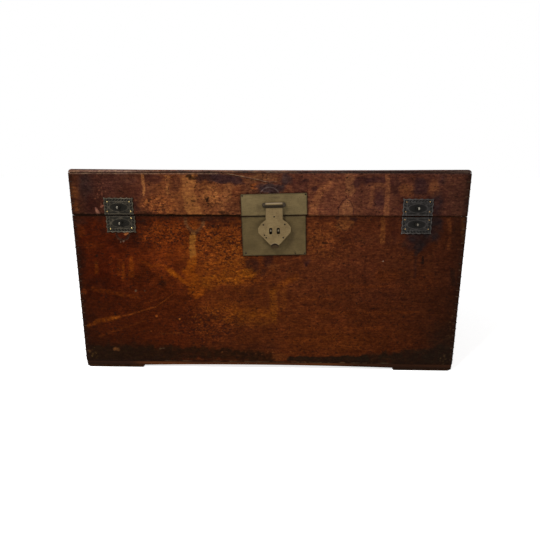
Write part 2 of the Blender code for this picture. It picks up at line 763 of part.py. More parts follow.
near = half_split
far = half_split + CLASP_HEIGHT
scallops = scalloped(near, far)
sunk_half = CLASP_WIDTH / 2 - CLASP_BORDER
sunk_outline = rectangle(
    -sunk_half, near + CLASP_BORDER / 2, sunk_half, far - CLASP_BORDER, PLATE_ROUND
)
floor = GAP + CLASP_THICK - CLASP_SUNK
flange = floor + GAP
stud_profile = [
    (0, flange + STUD_LENGTH),
    (0.7 * STUD, flange + 0.95 * STUD_LENGTH),
    (STUD, flange + 0.80 * STUD_LENGTH),
    (0.95 * STUD, flange + 0.60 * STUD_LENGTH),
    (0.65 * STUD, flange + 0.45 * STUD_LENGTH),
    (0.75 * STUD, flange + 0.20 * STUD_LENGTH),
    (1.15 * STUD, flange),
    (SHANK, flange),
    (SHANK, -SHANK_REACH),
    (0, -SHANK_REACH),
]
for level, sign, parent in (("upper", 1, lid_axis), ("lower", -1, box_body)):
    for side, x in CLASPS[level].items():
        frame = front_face @ at(x, SEAM, 0)
        outline = [(px, sign * py) for px, py in scallops]
        hole = circle(0, sign * STUD_RISE, SHANK + HOLE)
        name = f"clasp_plate_{level}_{side}"
        plate = extruded(name, [outline, hole], GAP, GAP + CLASP_THICK, frame)
        sunk = [(px, sign * py) for px, py in sunk_outline]
        panel = extruded(f"{name}_panel", [sunk], floor, floor + CORNER, frame)
        bowl = bpy.data.meshes.new(f"{name}_dish")
        shape = bmesh.new()
        bmesh.ops.create_uvsphere(shape, u_segments=ROUND, v_segments=ROUND // 2, radius=1)
        bmesh.ops.scale(shape, vec=(DISH_LONG, DISH_SHORT, DISH_DEEP), verts=shape.verts)
        tidy(bowl, shape)
        dish = placed(bowl.name, bowl, frame @ at(0, sign * STUD_RISE, floor))
        shape_with(plate, "DIFFERENCE", panel, dish)
        add(plate, BRONZE, parent)
        stud_frame = frame @ at(0, sign * STUD_RISE, 0)
        add(turned(f"clasp_stud_{level}_{side}", stud_profile, stud_frame), BRONZE, parent)

# Side handles: a bail hung in two eyes, each driven through a domed rosette
rosette_hole = SHANK + HOLE
rosette_profile = [
    (rosette_hole, GAP + ROSETTE_RISE),
    (0.55 * ROSETTE, GAP + ROSETTE_RISE),
    (0.85 * ROSETTE, GAP + 0.6 * ROSETTE_RISE),
    (ROSETTE, GAP + 0.2 * ROSETTE_RISE),
    (ROSETTE, GAP),
    (rosette_hole, GAP),
]
eye_half = STAPLE_THICK / 2
leg = BAIL_SPAN / 2 - eye_half - BAIL_GRIP - END_PLAY
stub = BAIL_SPAN / 2 + 2 * eye_half
bail_half = [(stub, 0, 0), (leg, 0, 0.006), (leg, -BAIL_DROP, 0.018)]
bail_path = fillet(*bail_half, *[(-x, y, r) for x, y, r in reversed(bail_half)])
for side in ("left", "right"):
    turn, length, across = SIDES[side]
    face = facing(turn, across / 2)
    axis = face @ at(0, BAIL_HEIGHT, BAIL_OUT)
    bail_axis = axis_empty(f"bail_axis_{side}", axis, box_body)
    for end, x in (("a", -BAIL_SPAN / 2), ("b", BAIL_SPAN / 2)):
        seat = face @ at(x, BAIL_HEIGHT, 0)
        rosette = turned(f"bail_rosette_{side}_{end}", rosette_profile, seat, ring=True)
        add(rosette, BRASS, box_body)
        frame = axis @ at(x, 0, 0)
        name = f"bail_eye_{side}_{end}"
        bore = BAIL_END + RUNNING
        eye_post(name, frame, BAIL_EYE, bore, STAPLE_THICK, BRASS, box_body, BAIL_OUT)
    wire = bpy.data.curves.new(f"bail_{side}", "CURVE")
    wire.dimensions = "3D"
    wire.bevel_depth = BAIL_GRIP
    wire.bevel_resolution = 2
    wire.use_fill_caps = True
    spline = wire.splines.new("POLY")
    spline.points.add(len(bail_path) - 1)
    for point, (x, y) in zip(spline.points, bail_path):
        point.co = (x, y, 0, 1)
        point.radius = BAIL_END / BAIL_GRIP if y > -0.004 else min(1, 0.6 - y / BAIL_DROP)
    add(placed(f"bail_{side}", wire, axis), BRASS, bail_axis)
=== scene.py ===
"""Looks of the leather-covered trunk: hides, stitching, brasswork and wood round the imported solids.

Metres, in the frame of the solids: the front faces -Y and +Z is up. Marks on the hides are placed in
millimetres on the face they lie on.
"""

import json
from math import cos, pi, radians, sin, tan

import bmesh
import bpy
import numpy as np
from mathutils import Matrix, Vector


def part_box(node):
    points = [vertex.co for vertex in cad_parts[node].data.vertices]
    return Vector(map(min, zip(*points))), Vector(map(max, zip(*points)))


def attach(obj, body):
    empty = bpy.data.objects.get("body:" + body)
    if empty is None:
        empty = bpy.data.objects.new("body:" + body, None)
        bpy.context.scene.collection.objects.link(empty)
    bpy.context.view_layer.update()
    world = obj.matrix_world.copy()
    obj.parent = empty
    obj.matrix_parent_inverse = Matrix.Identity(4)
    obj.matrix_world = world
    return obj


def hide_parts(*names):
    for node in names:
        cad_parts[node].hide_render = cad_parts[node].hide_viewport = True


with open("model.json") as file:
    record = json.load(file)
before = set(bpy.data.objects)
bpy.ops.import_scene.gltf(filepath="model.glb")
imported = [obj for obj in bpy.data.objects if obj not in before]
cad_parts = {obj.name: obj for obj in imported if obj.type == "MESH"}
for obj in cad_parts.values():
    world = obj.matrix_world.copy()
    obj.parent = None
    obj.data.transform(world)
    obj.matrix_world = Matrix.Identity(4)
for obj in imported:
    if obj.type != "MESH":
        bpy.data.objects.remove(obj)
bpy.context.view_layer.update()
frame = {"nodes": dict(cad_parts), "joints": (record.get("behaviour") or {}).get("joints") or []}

MM = 0.001
JOINTS = {joint["name"]: joint for joint in frame["joints"]}


def corners(node):
    """Lowest and highest corner of a solid as arrays."""
    low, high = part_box(node)
    return np.array(low), np.array(high)


# Sizes read from the solids
FRONT_Y = corners("box_leather_front")[0][1]
BACK_Y = corners("box_leather_back")[1][1]
HALF_WIDTH = corners("lid_leather_right")[1][0]
HALF_DEPTH = (BACK_Y - FRONT_Y) / 2
MIDDLE_Y = (BACK_Y + FRONT_Y) / 2
BOX_HIDE = corners("box_leather_front")[0][2], corners("box_leather_front")[1][2]
LID_HIDE = corners("lid_leather_front")[0][2], corners("lid_leather_front")[1][2]
LID_TOP = corners("lid_leather_top")[1][2]
HINGE = np.array(JOINTS["lid_hinge"]["pos_m"])
SEAM = HINGE[2]
HASP_PIVOT = np.array(JOINTS["hasp_hinge"]["pos_m"])
OUT = np.array((0.0, -1.0, 0.0))
RIGHT = -np.array(JOINTS["hasp_hinge"]["axis"])
UP = np.cross(OUT, RIGHT)

# Hasp's pivot above the lock's middle and out from the trunk's face, in metres
PIVOT_RISE = 0.021
PIVOT_OUT = 0.0067

# Ends of the lock plates, in millimetres to the right and up from the lock's middle on the seam
PLATE_HALF = 63.0
LOWER_RIGHT = 60.4
PLATE_TOP = 42.0
PLATE_FOOT = -76.5


def lock_spot(right, up):
    """Place on the front (x, z) in millimetres of a spot right of and above the lock's middle."""
    place = (HASP_PIVOT - PIVOT_RISE * UP) / MM + right * RIGHT + up * UP
    return place[0], place[2]


def plate_rim(right_end, level):
    """Path on the front round a lock plate, from the seam by its edge at that level to the seam."""
    spots = ((-PLATE_HALF, 0), (-PLATE_HALF, level), (right_end, level), (right_end, 0))
    return [lock_spot(right, up) for right, up in spots]


# Hides in metres: thickness, rounds of top and corners, soft edges; the gap at a corner is an angle
HIDE = 0.0020
EDGE_ROUND = 0.0060
WALL_ROUND = 0.0032
HIDE_EDGE = 0.0011
LID_HIDE_EDGE = 0.0016
CORNER_GAP = 0.05

# Groove at the hinges, sag and swell of the hides, and the spacing of their points
GROOVE = tan(radians(53))
GROOVE_CLEAR = 0.0003
TOP_SAG = 0.0016
TOP_FULLER = 0.0005
TOP_CLEAR = 0.00015
SWELL = 0.00022
FINE_PITCH = {"box": 0.00156, "lid": 0.00105}
PLAIN_PITCH = 0.0034
SIDES = {
    "front": (0, HALF_WIDTH, HALF_DEPTH),
    "right": (90, HALF_DEPTH, HALF_WIDTH),
    "back": (180, HALF_WIDTH, HALF_DEPTH),
    "left": (-90, HALF_DEPTH, HALF_WIDTH),
}


# Meshes from grids of points
def grid_quads(rows, columns, wrap=False):
    """Quads between neighbouring points of a grid, whose columns may close into rings."""
    row = np.arange(rows - 1)[:, None] * columns
    column = np.arange(columns if wrap else columns - 1)[None, :]
    beside = (column + 1) % columns
    quad = (row + column, row + beside, row + columns + beside, row + columns + column)
    return np.stack(quad, axis=-1).reshape(-1, 4)


def tube(points):
    """Rings of points joined by quads, with one flat face closing each end."""
    rings, around = points.shape[:2]
    faces = grid_quads(rings, around, wrap=True).tolist()
    last = (rings - 1) * around
    faces.append(list(range(around)))
    faces.append(list(range(last, last + around)))
    return points.reshape(-1, 3), faces


def slab(front, back):
    """Two grids of one shape, joined along their border into a closed sheet."""
    rows, columns = front.shape[:2]
    count = rows * columns
    index = np.arange(count).reshape(rows, columns)
    border = np.concatenate([index[0, :-1], index[:-1, -1], index[-1, :0:-1], index[:0:-1, 0]])
    ahead = np.roll(border, -1)
    quads = grid_quads(rows, columns)
    rim = np.stack([border, border + count, ahead + count, ahead], axis=-1)
    faces = np.concatenate([quads, quads[:, ::-1] + count, rim]).tolist()
    return np.concatenate([front.reshape(-1, 3), back.reshape(-1, 3)]), faces


def joined(surfaces):
    """Several surfaces as one, each with its own closed shell."""
    points = []
    faces = []
    count = 0
    for some_points, some_faces in surfaces:
        points.append(some_points)
        faces += [[count + i for i in face] for face in some_faces]
        count += len(some_points)
    return np.concatenate(points), faces


def make(name, surface, finish, body, nodes=(), colour=None, crease=40):
    """Piece from a surface: faces turned outward, smooth but for creases, riding on its body."""
    points, faces = surface
    mesh = bpy.data.meshes.new(name)
    mesh.from_pydata(points.tolist(), [], faces)
    shape = bmesh.new()
    shape.from_mesh(mesh)
    bmesh.ops.recalc_face_normals(shape, faces=shape.faces)
    shape.to_mesh(mesh)
    shape.free()
    if colour is not None:
        layer = mesh.color_attributes.new("tone", "FLOAT_COLOR", "POINT")
        if colour.shape[1] == 3:
            colour = np.concatenate([colour, np.ones((len(colour), 1))], axis=1)
        layer.data.foreach_set("color", colour.astype(np.float32).ravel())
    mesh.shade_smooth()
    mesh.set_sharp_from_angle(angle=radians(crease))
    return put(name, mesh, finish, body, nodes)


def put(name, mesh, finish, body, nodes=()):
    """Object for a mesh that lies in place, with its finish, body and the solids it stands for."""
    piece = bpy.data.objects.new(name, mesh)
    bpy.context.scene.collection.objects.link(piece)
    mesh.materials.clear()
    mesh.materials.append(finish)
    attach(piece, body)
    if nodes:
        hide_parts(*nodes)
    return piece


# Distance of points taken as one, and the angles at which faces count as flat or an edge as sharp
MERGE = 2e-6
FLAT = radians(1)
SHARP = radians(35)


def softened(node, finish, body, width, segments=2):
    """Copy of a solid with its doubles merged, flat triangles joined and its edges eased."""
    mesh = frame["nodes"][node].data.copy()
    shape = bmesh.new()
    shape.from_mesh(mesh)
    bmesh.ops.remove_doubles(shape, verts=shape.verts, dist=MERGE)
    bmesh.ops.dissolve_limit(shape, angle_limit=FLAT, verts=shape.verts, edges=shape.edges)
    shape.to_mesh(mesh)
    shape.free()
    mesh.shade_smooth()
    mesh.set_sharp_from_angle(angle=SHARP)
    piece = put(f"{node}_eased", mesh, finish, body, [node])
    eased = piece.modifiers.new("eased", "BEVEL")
    eased.width = width
    eased.segments = segments
    eased.limit_method = "ANGLE"
    eased.angle_limit = SHARP
    eased.harden_normals = True
    return piece


def spokes(axis, sides):
    """Unit axis, and the unit vectors square to it that fan once round it."""
    axis = np.asarray(axis, float) / np.linalg.norm(axis)
    helper = np.array((0.0, 0.0, 1.0)) if abs(axis[2]) < 0.9 else np.array((1.0, 0.0, 0.0))
    first = np.cross(axis, helper)
    first /= np.linalg.norm(first)
    second = np.cross(axis, first)
    angle = np.linspace(0, 2 * pi, sides, endpoint=False)
    return axis, np.cos(angle)[:, None] * first + np.sin(angle)[:, None] * second


def turned(profile, centre, axis, sides=32):
    """Profile of (radius, height) turned about an axis through the centre."""
    axis, spoke = spokes(axis, sides)
    radius, height = np.array(profile, float).T
    points = centre + radius[:, None, None] * spoke + height[:, None, None] * axis
    return tube(points)


def rounded_path(bends, steps):
    """Points along straight runs, with each corner (x, y, radius) rounded by an arc."""
    points = []
    last = len(bends) - 1
    for i, (x, y, radius) in enumerate(bends):
        here = np.array((x, y), float)
        if i in (0, last) or radius == 0:
            points.append(here)
            continue
        back = np.array(bends[i - 1][:2]) - here
        ahead = np.array(bends[i + 1][:2]) - here
        back /= np.linalg.norm(back)
        ahead /= np.linalg.norm(ahead)
        half = np.arccos(np.clip(back @ ahead, -1, 1)) / 2
        middle = here + (back + ahead) / np.linalg.norm(back + ahead) * radius / sin(half)
        first = here + back * radius / tan(half) - middle
        final = here + ahead * radius / tan(half) - middle
        sweep = pi - 2 * half
        for part in np.linspace(0, sweep, steps + 1):
            points.append(middle + (first * sin(sweep - part) + final * sin(part)) / sin(sweep))
    return np.array(points)


# Noise for clouds: factors that scatter whole numbers, and the gain that brings clouds to -1 and 1
HASH_X = 127.1
HASH_Y = 311.7
HASH_SEED = 74.7
HASH_SPREAD = 43758.5453
CLOUD_GAIN = 1.6


def lattice(x, y, seed):
    """Smooth noise from 0 to 1: hashed values at whole numbers, eased in between."""
    x0 = np.floor(x)
    y0 = np.floor(y)
    fx = x - x0
    fy = y - y0
    fx = fx * fx * (3 - 2 * fx)
    fy = fy * fy * (3 - 2 * fy)

    def value(i, j):
        wave = np.sin(i * HASH_X + j * HASH_Y + seed * HASH_SEED) * HASH_SPREAD
        return wave - np.floor(wave)

    low = value(x0, y0) * (1 - fx) + value(x0 + 1, y0) * fx
    high = value(x0, y0 + 1) * (1 - fx) + value(x0 + 1, y0 + 1) * fx
    return low * (1 - fy) + high * fy


def clouds(x, y, size, seed, octaves=4):
    """Noise from about -1 to 1: octaves of the lattice, each half as large and half as strong."""
    wide, tall = size if isinstance(size, tuple) else (size, size)
    total = np.zeros(np.shape(x))
    weight = 0.0
    for octave in range(octaves):
        share = 0.5**octave
        scale = 2**octave
        total += share * (lattice(x / wide * scale, y / tall * scale, seed + 17 * octave) * 2 - 1)
        weight += share
    return total / weight * CLOUD_GAIN


def ease(value, start, end):
    """0 before start, 1 after end and a smooth rise between; start may be the larger."""
    t = np.clip((value - start) / (end - start), 0, 1)
    return t * t * (3 - 2 * t)


def tone(red, green, blue):
    """Linear colour of a screen colour from 0 to 255."""
    c = np.array((red, green, blue)) / 255
    return np.where(c <= 0.04045, c / 12.92, ((c + 0.055) / 1.055) ** 2.4)


TAN = tone(128, 78, 40)
PURPLE = tone(52, 27, 25)
# Soot, also the colour of painted shade in the seam, under the rolled top edge and round the lock plates
SOOT_AND_SHADE = tone(30, 17, 11)
AMBER = tone(112, 54, 12)
SCAR = tone(100, 68, 42)
RAW = tone(150, 105, 70)


# Coats of colour laid on the hides
class Coats:
    """Colour at points of a face, (x, z) in millimetres on it, built up coat by coat.

    Beside the colour each point keeps how crazed its lacquer is, from 0 to 1.
    """

    def __init__(self, x, z, ground, seed):
        self.seed = seed
        self.true_x = x
        self.true_z = z
        self.x = x + 3.0 * clouds(x, z, 26, seed) + 1.7 * clouds(x, z, 7, seed + 3)
        self.z = z + 2.6 * clouds(x, z, 26, seed + 5) + 1.7 * clouds(x, z, 7, seed + 8)
        self.ragged = clouds(x, z, 11, seed + 11)
        self.broken = np.clip(0.80 + 0.55 * clouds(x, z, 8, seed + 14, 3), 0.15, 1.15)
        self.colour = ground
        self.crazed = np.full(len(x), 0.28)

    def coat(self, mask, colour, strength):
        """Mix a colour in where the mask is, by its strength."""
        share = (np.clip(mask, 0, 1) * strength)[:, None]
        self.colour = self.colour * (1 - share) + colour * share

    def cover(self, reach, soft, even):
        """Mask inside reach 1 with a soft edge, broken into patches unless even is 1."""
        return ease(reach, 1 + soft / 2, 1 - soft / 2) * (self.broken * (1 - even) + even)

    def pool(self, x, z, wide, tall, colour, strength, soft=0.9, even=0.0):
        """Coat inside an ellipse of those half sizes, its edge ragged and soft."""
        reach = np.hypot((self.x - x) / wide, (self.z - z) / tall)
        self.coat(self.cover(reach + 0.22 * self.ragged, soft, even), colour, strength)

    def craze(self, x, z, wide, tall, share):
        """Crazed lacquer inside an ellipse."""
        reach = np.hypot((self.x - x) / wide, (self.z - z) / tall)
        mask = self.cover(reach + 0.2 * self.ragged, 0.9, 0.5)
        self.crazed = self.crazed * (1 - mask) + share * mask

    def run(self, path, width, colour, strength, soft=0.9, ragged=0.3, even=0.0):
        """Coat along a path of points, width across at its start and end."""
        start_width, end_width = width if isinstance(width, tuple) else (width, width)
        path = np.array(path, float)
        lengths = np.hypot(*(path[1:] - path[:-1]).T)
        total = lengths.sum()
        best = np.full(self.x.shape, 1e9)
        before = 0.0
        calm = min(1.0, (start_width + end_width) / 40)
        px = self.true_x + calm * (self.x - self.true_x)
        pz = self.true_z + calm * (self.z - self.true_z)
        for (x0, z0), (x1, z1), length in zip(path, path[1:], lengths):
            t = ((px - x0) * (x1 - x0) + (pz - z0) * (z1 - z0)) / length**2
            t = np.clip(t, 0, 1)
            away = np.hypot(px - x0 - t * (x1 - x0), pz - z0 - t * (z1 - z0))
            share = (before + t * length) / total
            best = np.minimum(best, 2 * away / (start_width + (end_width - start_width) * share))
            before += length
        self.coat(self.cover(best + ragged * self.ragged, soft, even), colour, strength)

    def ring(self, x, z, radius, width, colour, strength):
        """Coat along a circle."""
        away = np.abs(np.hypot(self.true_x - x, self.true_z - z) - radius)
        self.coat(ease(2 * away / width, 1.4, 0.6) * (0.8 + 0.3 * self.ragged), colour, strength)

    def specks(self, x, z, wide, tall, count, size, colour, strength):
        """Small dots strewn inside an ellipse."""
        draw = np.random.default_rng(int(abs(x) * 7 + z))
        for _ in range(count):
            place = draw.normal(0, 0.5, 2)
            radius = size * draw.uniform(0.5, 1.3)
            away = np.hypot(self.true_x - x - wide * place[0], self.true_z - z - tall * place[1])
            self.coat(ease(away, 1.4 * radius, 0.5 * radius), colour, strength * draw.uniform(0.5, 1))

    def mottle(self, strong):
        """Darken and lighten in blotches, level streaks and small flecks."""
        x = self.true_x
        z = self.true_z
        cloud = 0.60 * clouds(x, z, (30, 22), self.seed + 21)
        cloud += 0.18 * clouds(x, z, (34, 5.0), self.seed + 23, 3)
        cloud += 0.18 * clouds(x, z, (6, 34), self.seed + 25, 3)
        cloud += 0.34 * clouds(x, z, 6.5, self.seed + 27, 2)
        self.colour = self.colour * np.exp(strong * cloud)[:, None]

    def paint(self):
        """Colour and crazing of every point."""
        return np.concatenate([self.colour, np.clip(self.crazed, 0, 1)[:, None]], axis=1)


def along(stations, x):
    """Colour between stations (x, colour) along a face."""
    place = [station[0] for station in stations]
    colours = np.array([station[1] for station in stations])
    return np.stack([np.interp(x, place, colours[:, i]) for i in range(3)], axis=-1)


BOX_GROUND = [
    (-380, tone(44, 14, 5)),
    (-355, tone(62, 20, 5)),
    (-300, tone(72, 24, 6)),
    (-240, tone(82, 31, 8)),
    (-180, tone(90, 37, 11)),
    (-100, tone(94, 43, 14)),
    (-30, tone(88, 41, 15)),
    (40, tone(76, 36, 17)),
    (200, tone(76, 36, 19)),
    (290, tone(64, 30, 15)),
    (350, tone(54, 24, 12)),
    (380, tone(40, 19, 11)),
]
BOX_FOOT = [
    (-380, tone(36, 13, 5)),
    (-340, tone(54, 19, 5)),
    (-260, tone(61, 22, 6)),
    (-180, tone(68, 26, 8)),
    (-100, tone(73, 32, 12)),
    (-20, tone(75, 34, 13)),
    (60, tone(78, 35, 13)),
    (150, tone(76, 34, 13)),
    (230, tone(69, 30, 11)),
    (300, tone(58, 25, 10)),
    (350, tone(46, 20, 9)),
    (380, tone(34, 16, 8)),
]
LID_GROUND = [
    (-380, tone(50, 26, 18)),
    (-368, tone(66, 35, 22)),
    (-350, tone(54, 29, 22)),
    (-300, tone(65, 35, 26)),
    (-250, tone(76, 41, 28)),
    (-205, tone(99, 54, 30)),
    (-150, tone(104, 59, 32)),
    (-90, tone(104, 59, 33)),
    (-20, tone(84, 49, 33)),
    (60, tone(92, 51, 35)),
    (130, tone(100, 57, 38)),
    (200, tone(84, 47, 33)),
    (260, tone(78, 43, 31)),
    (330, tone(70, 39, 29)),
    (365, tone(62, 35, 26)),
    (380, tone(44, 26, 21)),
]
FRONT_ROLL = [
    (-380, tone(102, 73, 57)),
    (-335, tone(108, 80, 66)),
    (-255, tone(118, 92, 80)),
    (-225, tone(92, 64, 51)),
    (-195, tone(80, 56, 44)),
    (-156, tone(62, 48, 44)),
    (-134, tone(98, 70, 58)),
    (-111, tone(74, 55, 49)),
    (-75, tone(106, 74, 55)),
    (-42, tone(58, 49, 47)),
    (-18, tone(98, 69, 52)),
    (4, tone(80, 66, 58)),
    (28, tone(98, 72, 57)),
    (70, tone(56, 42, 40)),
    (150, tone(51, 41, 38)),
    (255, tone(37, 27, 25)),
    (330, tone(56, 41, 35)),
    (380, tone(78, 64, 57)),
]


def paint_lid_front(x, z):
    """Lid's front: smoky patches and a painted shadow under the rolled edge, tan runs, the mark of an older
    round plate and painted shade in the seam.
    """
    hide = Coats(x, z, along(LID_GROUND, x), 5)
    hide.pool(-371, 362, 9, 15, tone(100, 56, 28), 0.75, 0.8, 0.4)
    hide.pool(-371, 334, 9, 11, tone(96, 52, 26), 0.75, 0.8, 0.4)
    hide.pool(-345, 370, 13, 26, tone(47, 31, 28), 0.88, 1.0, 0.5)
    hide.pool(-338, 336, 9, 18, tone(46, 22, 18), 0.75, 0.8, 0.5)
    hide.pool(-300, 378, 34, 12, tone(62, 33, 26), 0.7)
    hide.pool(-270, 384, 20, 8, tone(80, 47, 36), 0.6)
    hide.pool(-262, 362, 20, 12, tone(66, 33, 23), 0.6)
    hide.pool(-250, 334, 14, 9, tone(42, 22, 20), 0.85, 0.7, 0.5)
    hide.pool(-204, 338, 38, 16, tone(122, 68, 34), 0.8, 0.8, 0.5)
    hide.pool(-182, 362, 20, 14, tone(106, 59, 32), 0.55)
    hide.pool(-216, 387, 20, 8, tone(60, 30, 24), 0.85, 0.6, 0.6)
    hide.pool(-174, 378, 9, 16, tone(74, 38, 24), 0.8, 0.5, 0.6)
    hide.pool(-168, 340, 8, 14, tone(84, 44, 26), 0.45)
    hide.run([(-191, 396), (-190, 378), (-190, 360)], (9, 5), tone(122, 73, 40), 0.85, 0.3, 0.12, 0.8)
    fall = [(-149, 397), (-149, 376), (-149, 356), (-146, 338), (-141, 318)]
    hide.run(fall, (24, 27), tone(130, 80, 42), 0.95, 0.2, 0.15, 0.95)
    hide.run([(-160, 372), (-178, 346)], (9, 16), tone(120, 70, 36), 0.5)
    hide.run([(-236, 396), (-236, 372), (-237, 356)], (7, 3.6), tone(136, 86, 48), 0.95, 0.4, 0.06, 0.9)
    hide.pool(-161, 391, 8, 6, tone(84, 48, 32), 0.5)
    hide.pool(-146, 390, 6, 3.6, SOOT_AND_SHADE, 0.85, 0.5, 0.7)
    hide.pool(-140, 386, 7, 3.4, SOOT_AND_SHADE, 0.8, 0.5, 0.7)
    hide.run([(-145, 345), (-139, 344)], 3, SOOT_AND_SHADE, 0.8, 0.6, 0.2, 0.7)
    hide.pool(-128, 388, 8, 10, tone(50, 29, 27), 0.9, 0.6, 0.7)
    hide.pool(-106, 388, 20, 8, tone(47, 29, 28), 0.95, 0.6, 0.8)
    hide.pool(-84, 387, 22, 10, tone(44, 27, 28), 0.97, 0.5, 0.85)
    hide.pool(-62, 384, 14, 8, tone(46, 28, 28), 0.95, 0.6, 0.8)
    hide.run([(-56, 381), (-44, 377)], (7, 3), tone(50, 30, 28), 0.8, 0.6, 0.3, 0.6)
    hide.pool(-108, 356, 18, 15, tone(130, 79, 42), 0.8, 0.7, 0.5)
    hide.run([(-89, 330), (-80, 352), (-71, 372)], (16, 15), tone(124, 75, 42), 0.7, 0.7, 0.35, 0.5)
    hide.pool(-58, 360, 10, 15, tone(94, 48, 27), 0.7, 0.7, 0.5)
    hide.pool(-62, 334, 14, 12, tone(84, 46, 27), 0.7, 0.8, 0.4)
    hide.pool(-42, 366, 10, 10, tone(76, 42, 28), 0.6)
    hide.pool(-22, 371, 8, 6, tone(122, 64, 29), 0.8, 0.6, 0.6)
    hide.specks(-116, 343, 10, 13, 18, 1.8, SOOT_AND_SHADE, 0.85)
    hide.run([(-113, 351), (-117, 344)], 3.4, SOOT_AND_SHADE, 0.95, 0.5, 0.2, 0.9)
    hide.pool(-6, 389, 28, 6, tone(108, 69, 41), 0.75, 0.7, 0.4)
    hide.pool(36, 386, 14, 10, tone(54, 39, 38), 0.92, 0.6, 0.7)
    hide.pool(5, 368, 24, 10, tone(50, 38, 38), 0.95, 0.45, 0.8)
    hide.ring(3.4, 351.2, 19.7, 1.5, tone(104, 90, 84), 0.65)
    hide.ring(3.4, 351.2, 16.0, 2.4, SOOT_AND_SHADE, 0.4)
    hide.pool(60, 377, 14, 18, tone(68, 37, 30), 0.8, 0.7, 0.5)
    hide.pool(68, 382, 5, 2.6, tone(44, 24, 22), 0.85, 0.5, 0.7)
    hide.pool(86, 369, 6, 4, tone(54, 28, 26), 0.85, 0.6, 0.7)
    hide.pool(88, 387, 18, 7, tone(84, 46, 34), 0.6)
    hide.pool(118, 345, 10, 24, tone(80, 43, 33), 0.5)
    swirl = [(86, 320), (88, 338), (93, 354), (102, 366), (116, 375)]
    hide.run(swirl, (16, 13), tone(120, 71, 43), 0.8, 0.5, 0.25, 0.6)
    hide.run([(154, 397), (155, 376), (156, 362)], (17, 16), tone(112, 69, 44), 0.95, 0.2, 0.1, 0.9)
    hide.pool(149, 325, 14.5, 24, tone(112, 69, 44), 0.97, 0.14, 0.95)
    arch = [(134, 320), (135, 334), (141, 345), (149, 350), (157, 345), (162, 334), (164, 320)]
    hide.run(arch, 2.0, tone(58, 31, 27), 0.85, 0.6, 0.1, 0.8)
    hide.pool(172, 350, 9, 22, tone(78, 43, 33), 0.6)
    hide.run([(168, 378), (174, 386), (186, 385)], (16, 16), tone(54, 29, 27), 0.9, 0.8, 0.45, 0.6)
    hide.run([(186, 384), (206, 388), (217, 386)], (9, 14), tone(52, 28, 27), 0.9, 0.8, 0.45, 0.6)
    hide.pool(182, 362, 8, 14, tone(86, 49, 35), 0.5)
    hook = [(217, 375), (205, 376), (197, 371), (196, 355), (194, 336)]
    hide.run(hook, 7, tone(106, 63, 40), 0.78, 0.8, 0.35, 0.5)
    hide.pool(211, 350, 10, 19, tone(58, 32, 29), 0.88, 0.9, 0.5)
    hide.run([(223, 397), (225, 376), (225, 317)], (8, 10), tone(106, 63, 40), 0.9, 0.35, 0.15, 0.85)
    hide.pool(240, 374, 9, 18, tone(62, 34, 28), 0.85, 0.6, 0.6)
    hide.pool(260, 366, 13, 13, tone(102, 59, 35), 0.85, 0.6, 0.6)
    hide.pool(286, 372, 15, 18, tone(48, 28, 28), 0.93, 0.6, 0.7)
    hide.pool(311, 370, 11, 13, tone(102, 59, 36), 0.85, 0.6, 0.6)
    hide.pool(325, 385, 9, 8, tone(52, 31, 28), 0.85, 0.7, 0.6)
    hide.pool(346, 386, 16, 9, tone(88, 52, 37), 0.65)
    hide.pool(317, 336, 14, 27, tone(37, 25, 26), 0.92, 1.1, 0.5)
    hide.pool(-334, 344, 22, 20, tone(44, 14, 8), 0.4)
    hide.pool(355, 350, 14, 24, tone(70, 40, 30), 0.5)
    hide.run([(-331, 331), (-327, 319)], (3, 8), tone(130, 86, 70), 0.75, 0.5, 0.15, 0.8)
    hide.pool(-320, 334, 2.6, 2.6, tone(120, 74, 58), 0.7, 0.6, 0.6)
    hide.specks(-317, 362, 10, 22, 20, 1.3, tone(116, 68, 50), 0.6)
    hide.pool(118, 389, 44, 7, tone(74, 42, 32), 0.5)
    hide.craze(-216, 336, 30, 16, 0.8)
    hide.craze(-108, 350, 40, 26, 0.5)
    hide.craze(-182, 366, 14, 20, 0.45)
    hide.craze(-149, 376, 14, 26, 0.04)
    hide.craze(-144, 336, 16, 24, 0.04)
    hide.mottle(0.34)
    # Grime and painted contact shade round the upper lock plate
    hide.run(plate_rim(PLATE_HALF, PLATE_TOP), 4.4, SOOT_AND_SHADE, 0.75, 0.9, 0.2)
    hide.coat(ease(np.abs(x), 366, 379), SOOT_AND_SHADE, 0.5)
    left = ease(x, 60, -20)
    # Painted shadow under the rolled top edge: a soft dark band on the left
    hide.coat(ease(z + 0.6 * hide.ragged, 393.0, 394.6) * left, tone(44, 27, 21), 0.3)
    worn = ease(np.abs(z - 395.4), 1.5, 0.5) * ease(x, -60, -110) * hide.broken
    hide.coat(worn, tone(128, 100, 82), 0.6)
    # Painted shadow: a dark line just under the top sheet's rolled edge
    hide.coat(ease(z, 396.2, 397.2) * (0.3 + 0.7 * left), SOOT_AND_SHADE * 0.6, 0.9)
    hide.coat(ease(z, 394.6, 396.4) * (1 - left), tone(70, 52, 48), 0.6)
    # Painted shade in the seam: a dark ragged line along the lid's lower edge, thicker in places
    strong = 0.45 + 0.52 * ease(x, 100, 20)
    hide.coat(ease(z + 0.7 * hide.ragged, 320.4, 318.8) * strong, SOOT_AND_SHADE * 0.4, 0.97)
    hide.pool(-240, 319.6, 18, 3.6, SOOT_AND_SHADE * 0.7, 0.75, 0.7, 0.3)
    hide.pool(-345, 319, 30, 3, SOOT_AND_SHADE * 0.7, 0.8)
    hide.pool(-84, 321, 12, 4, SOOT_AND_SHADE, 0.8, 0.7, 0.4)
    return hide.paint()


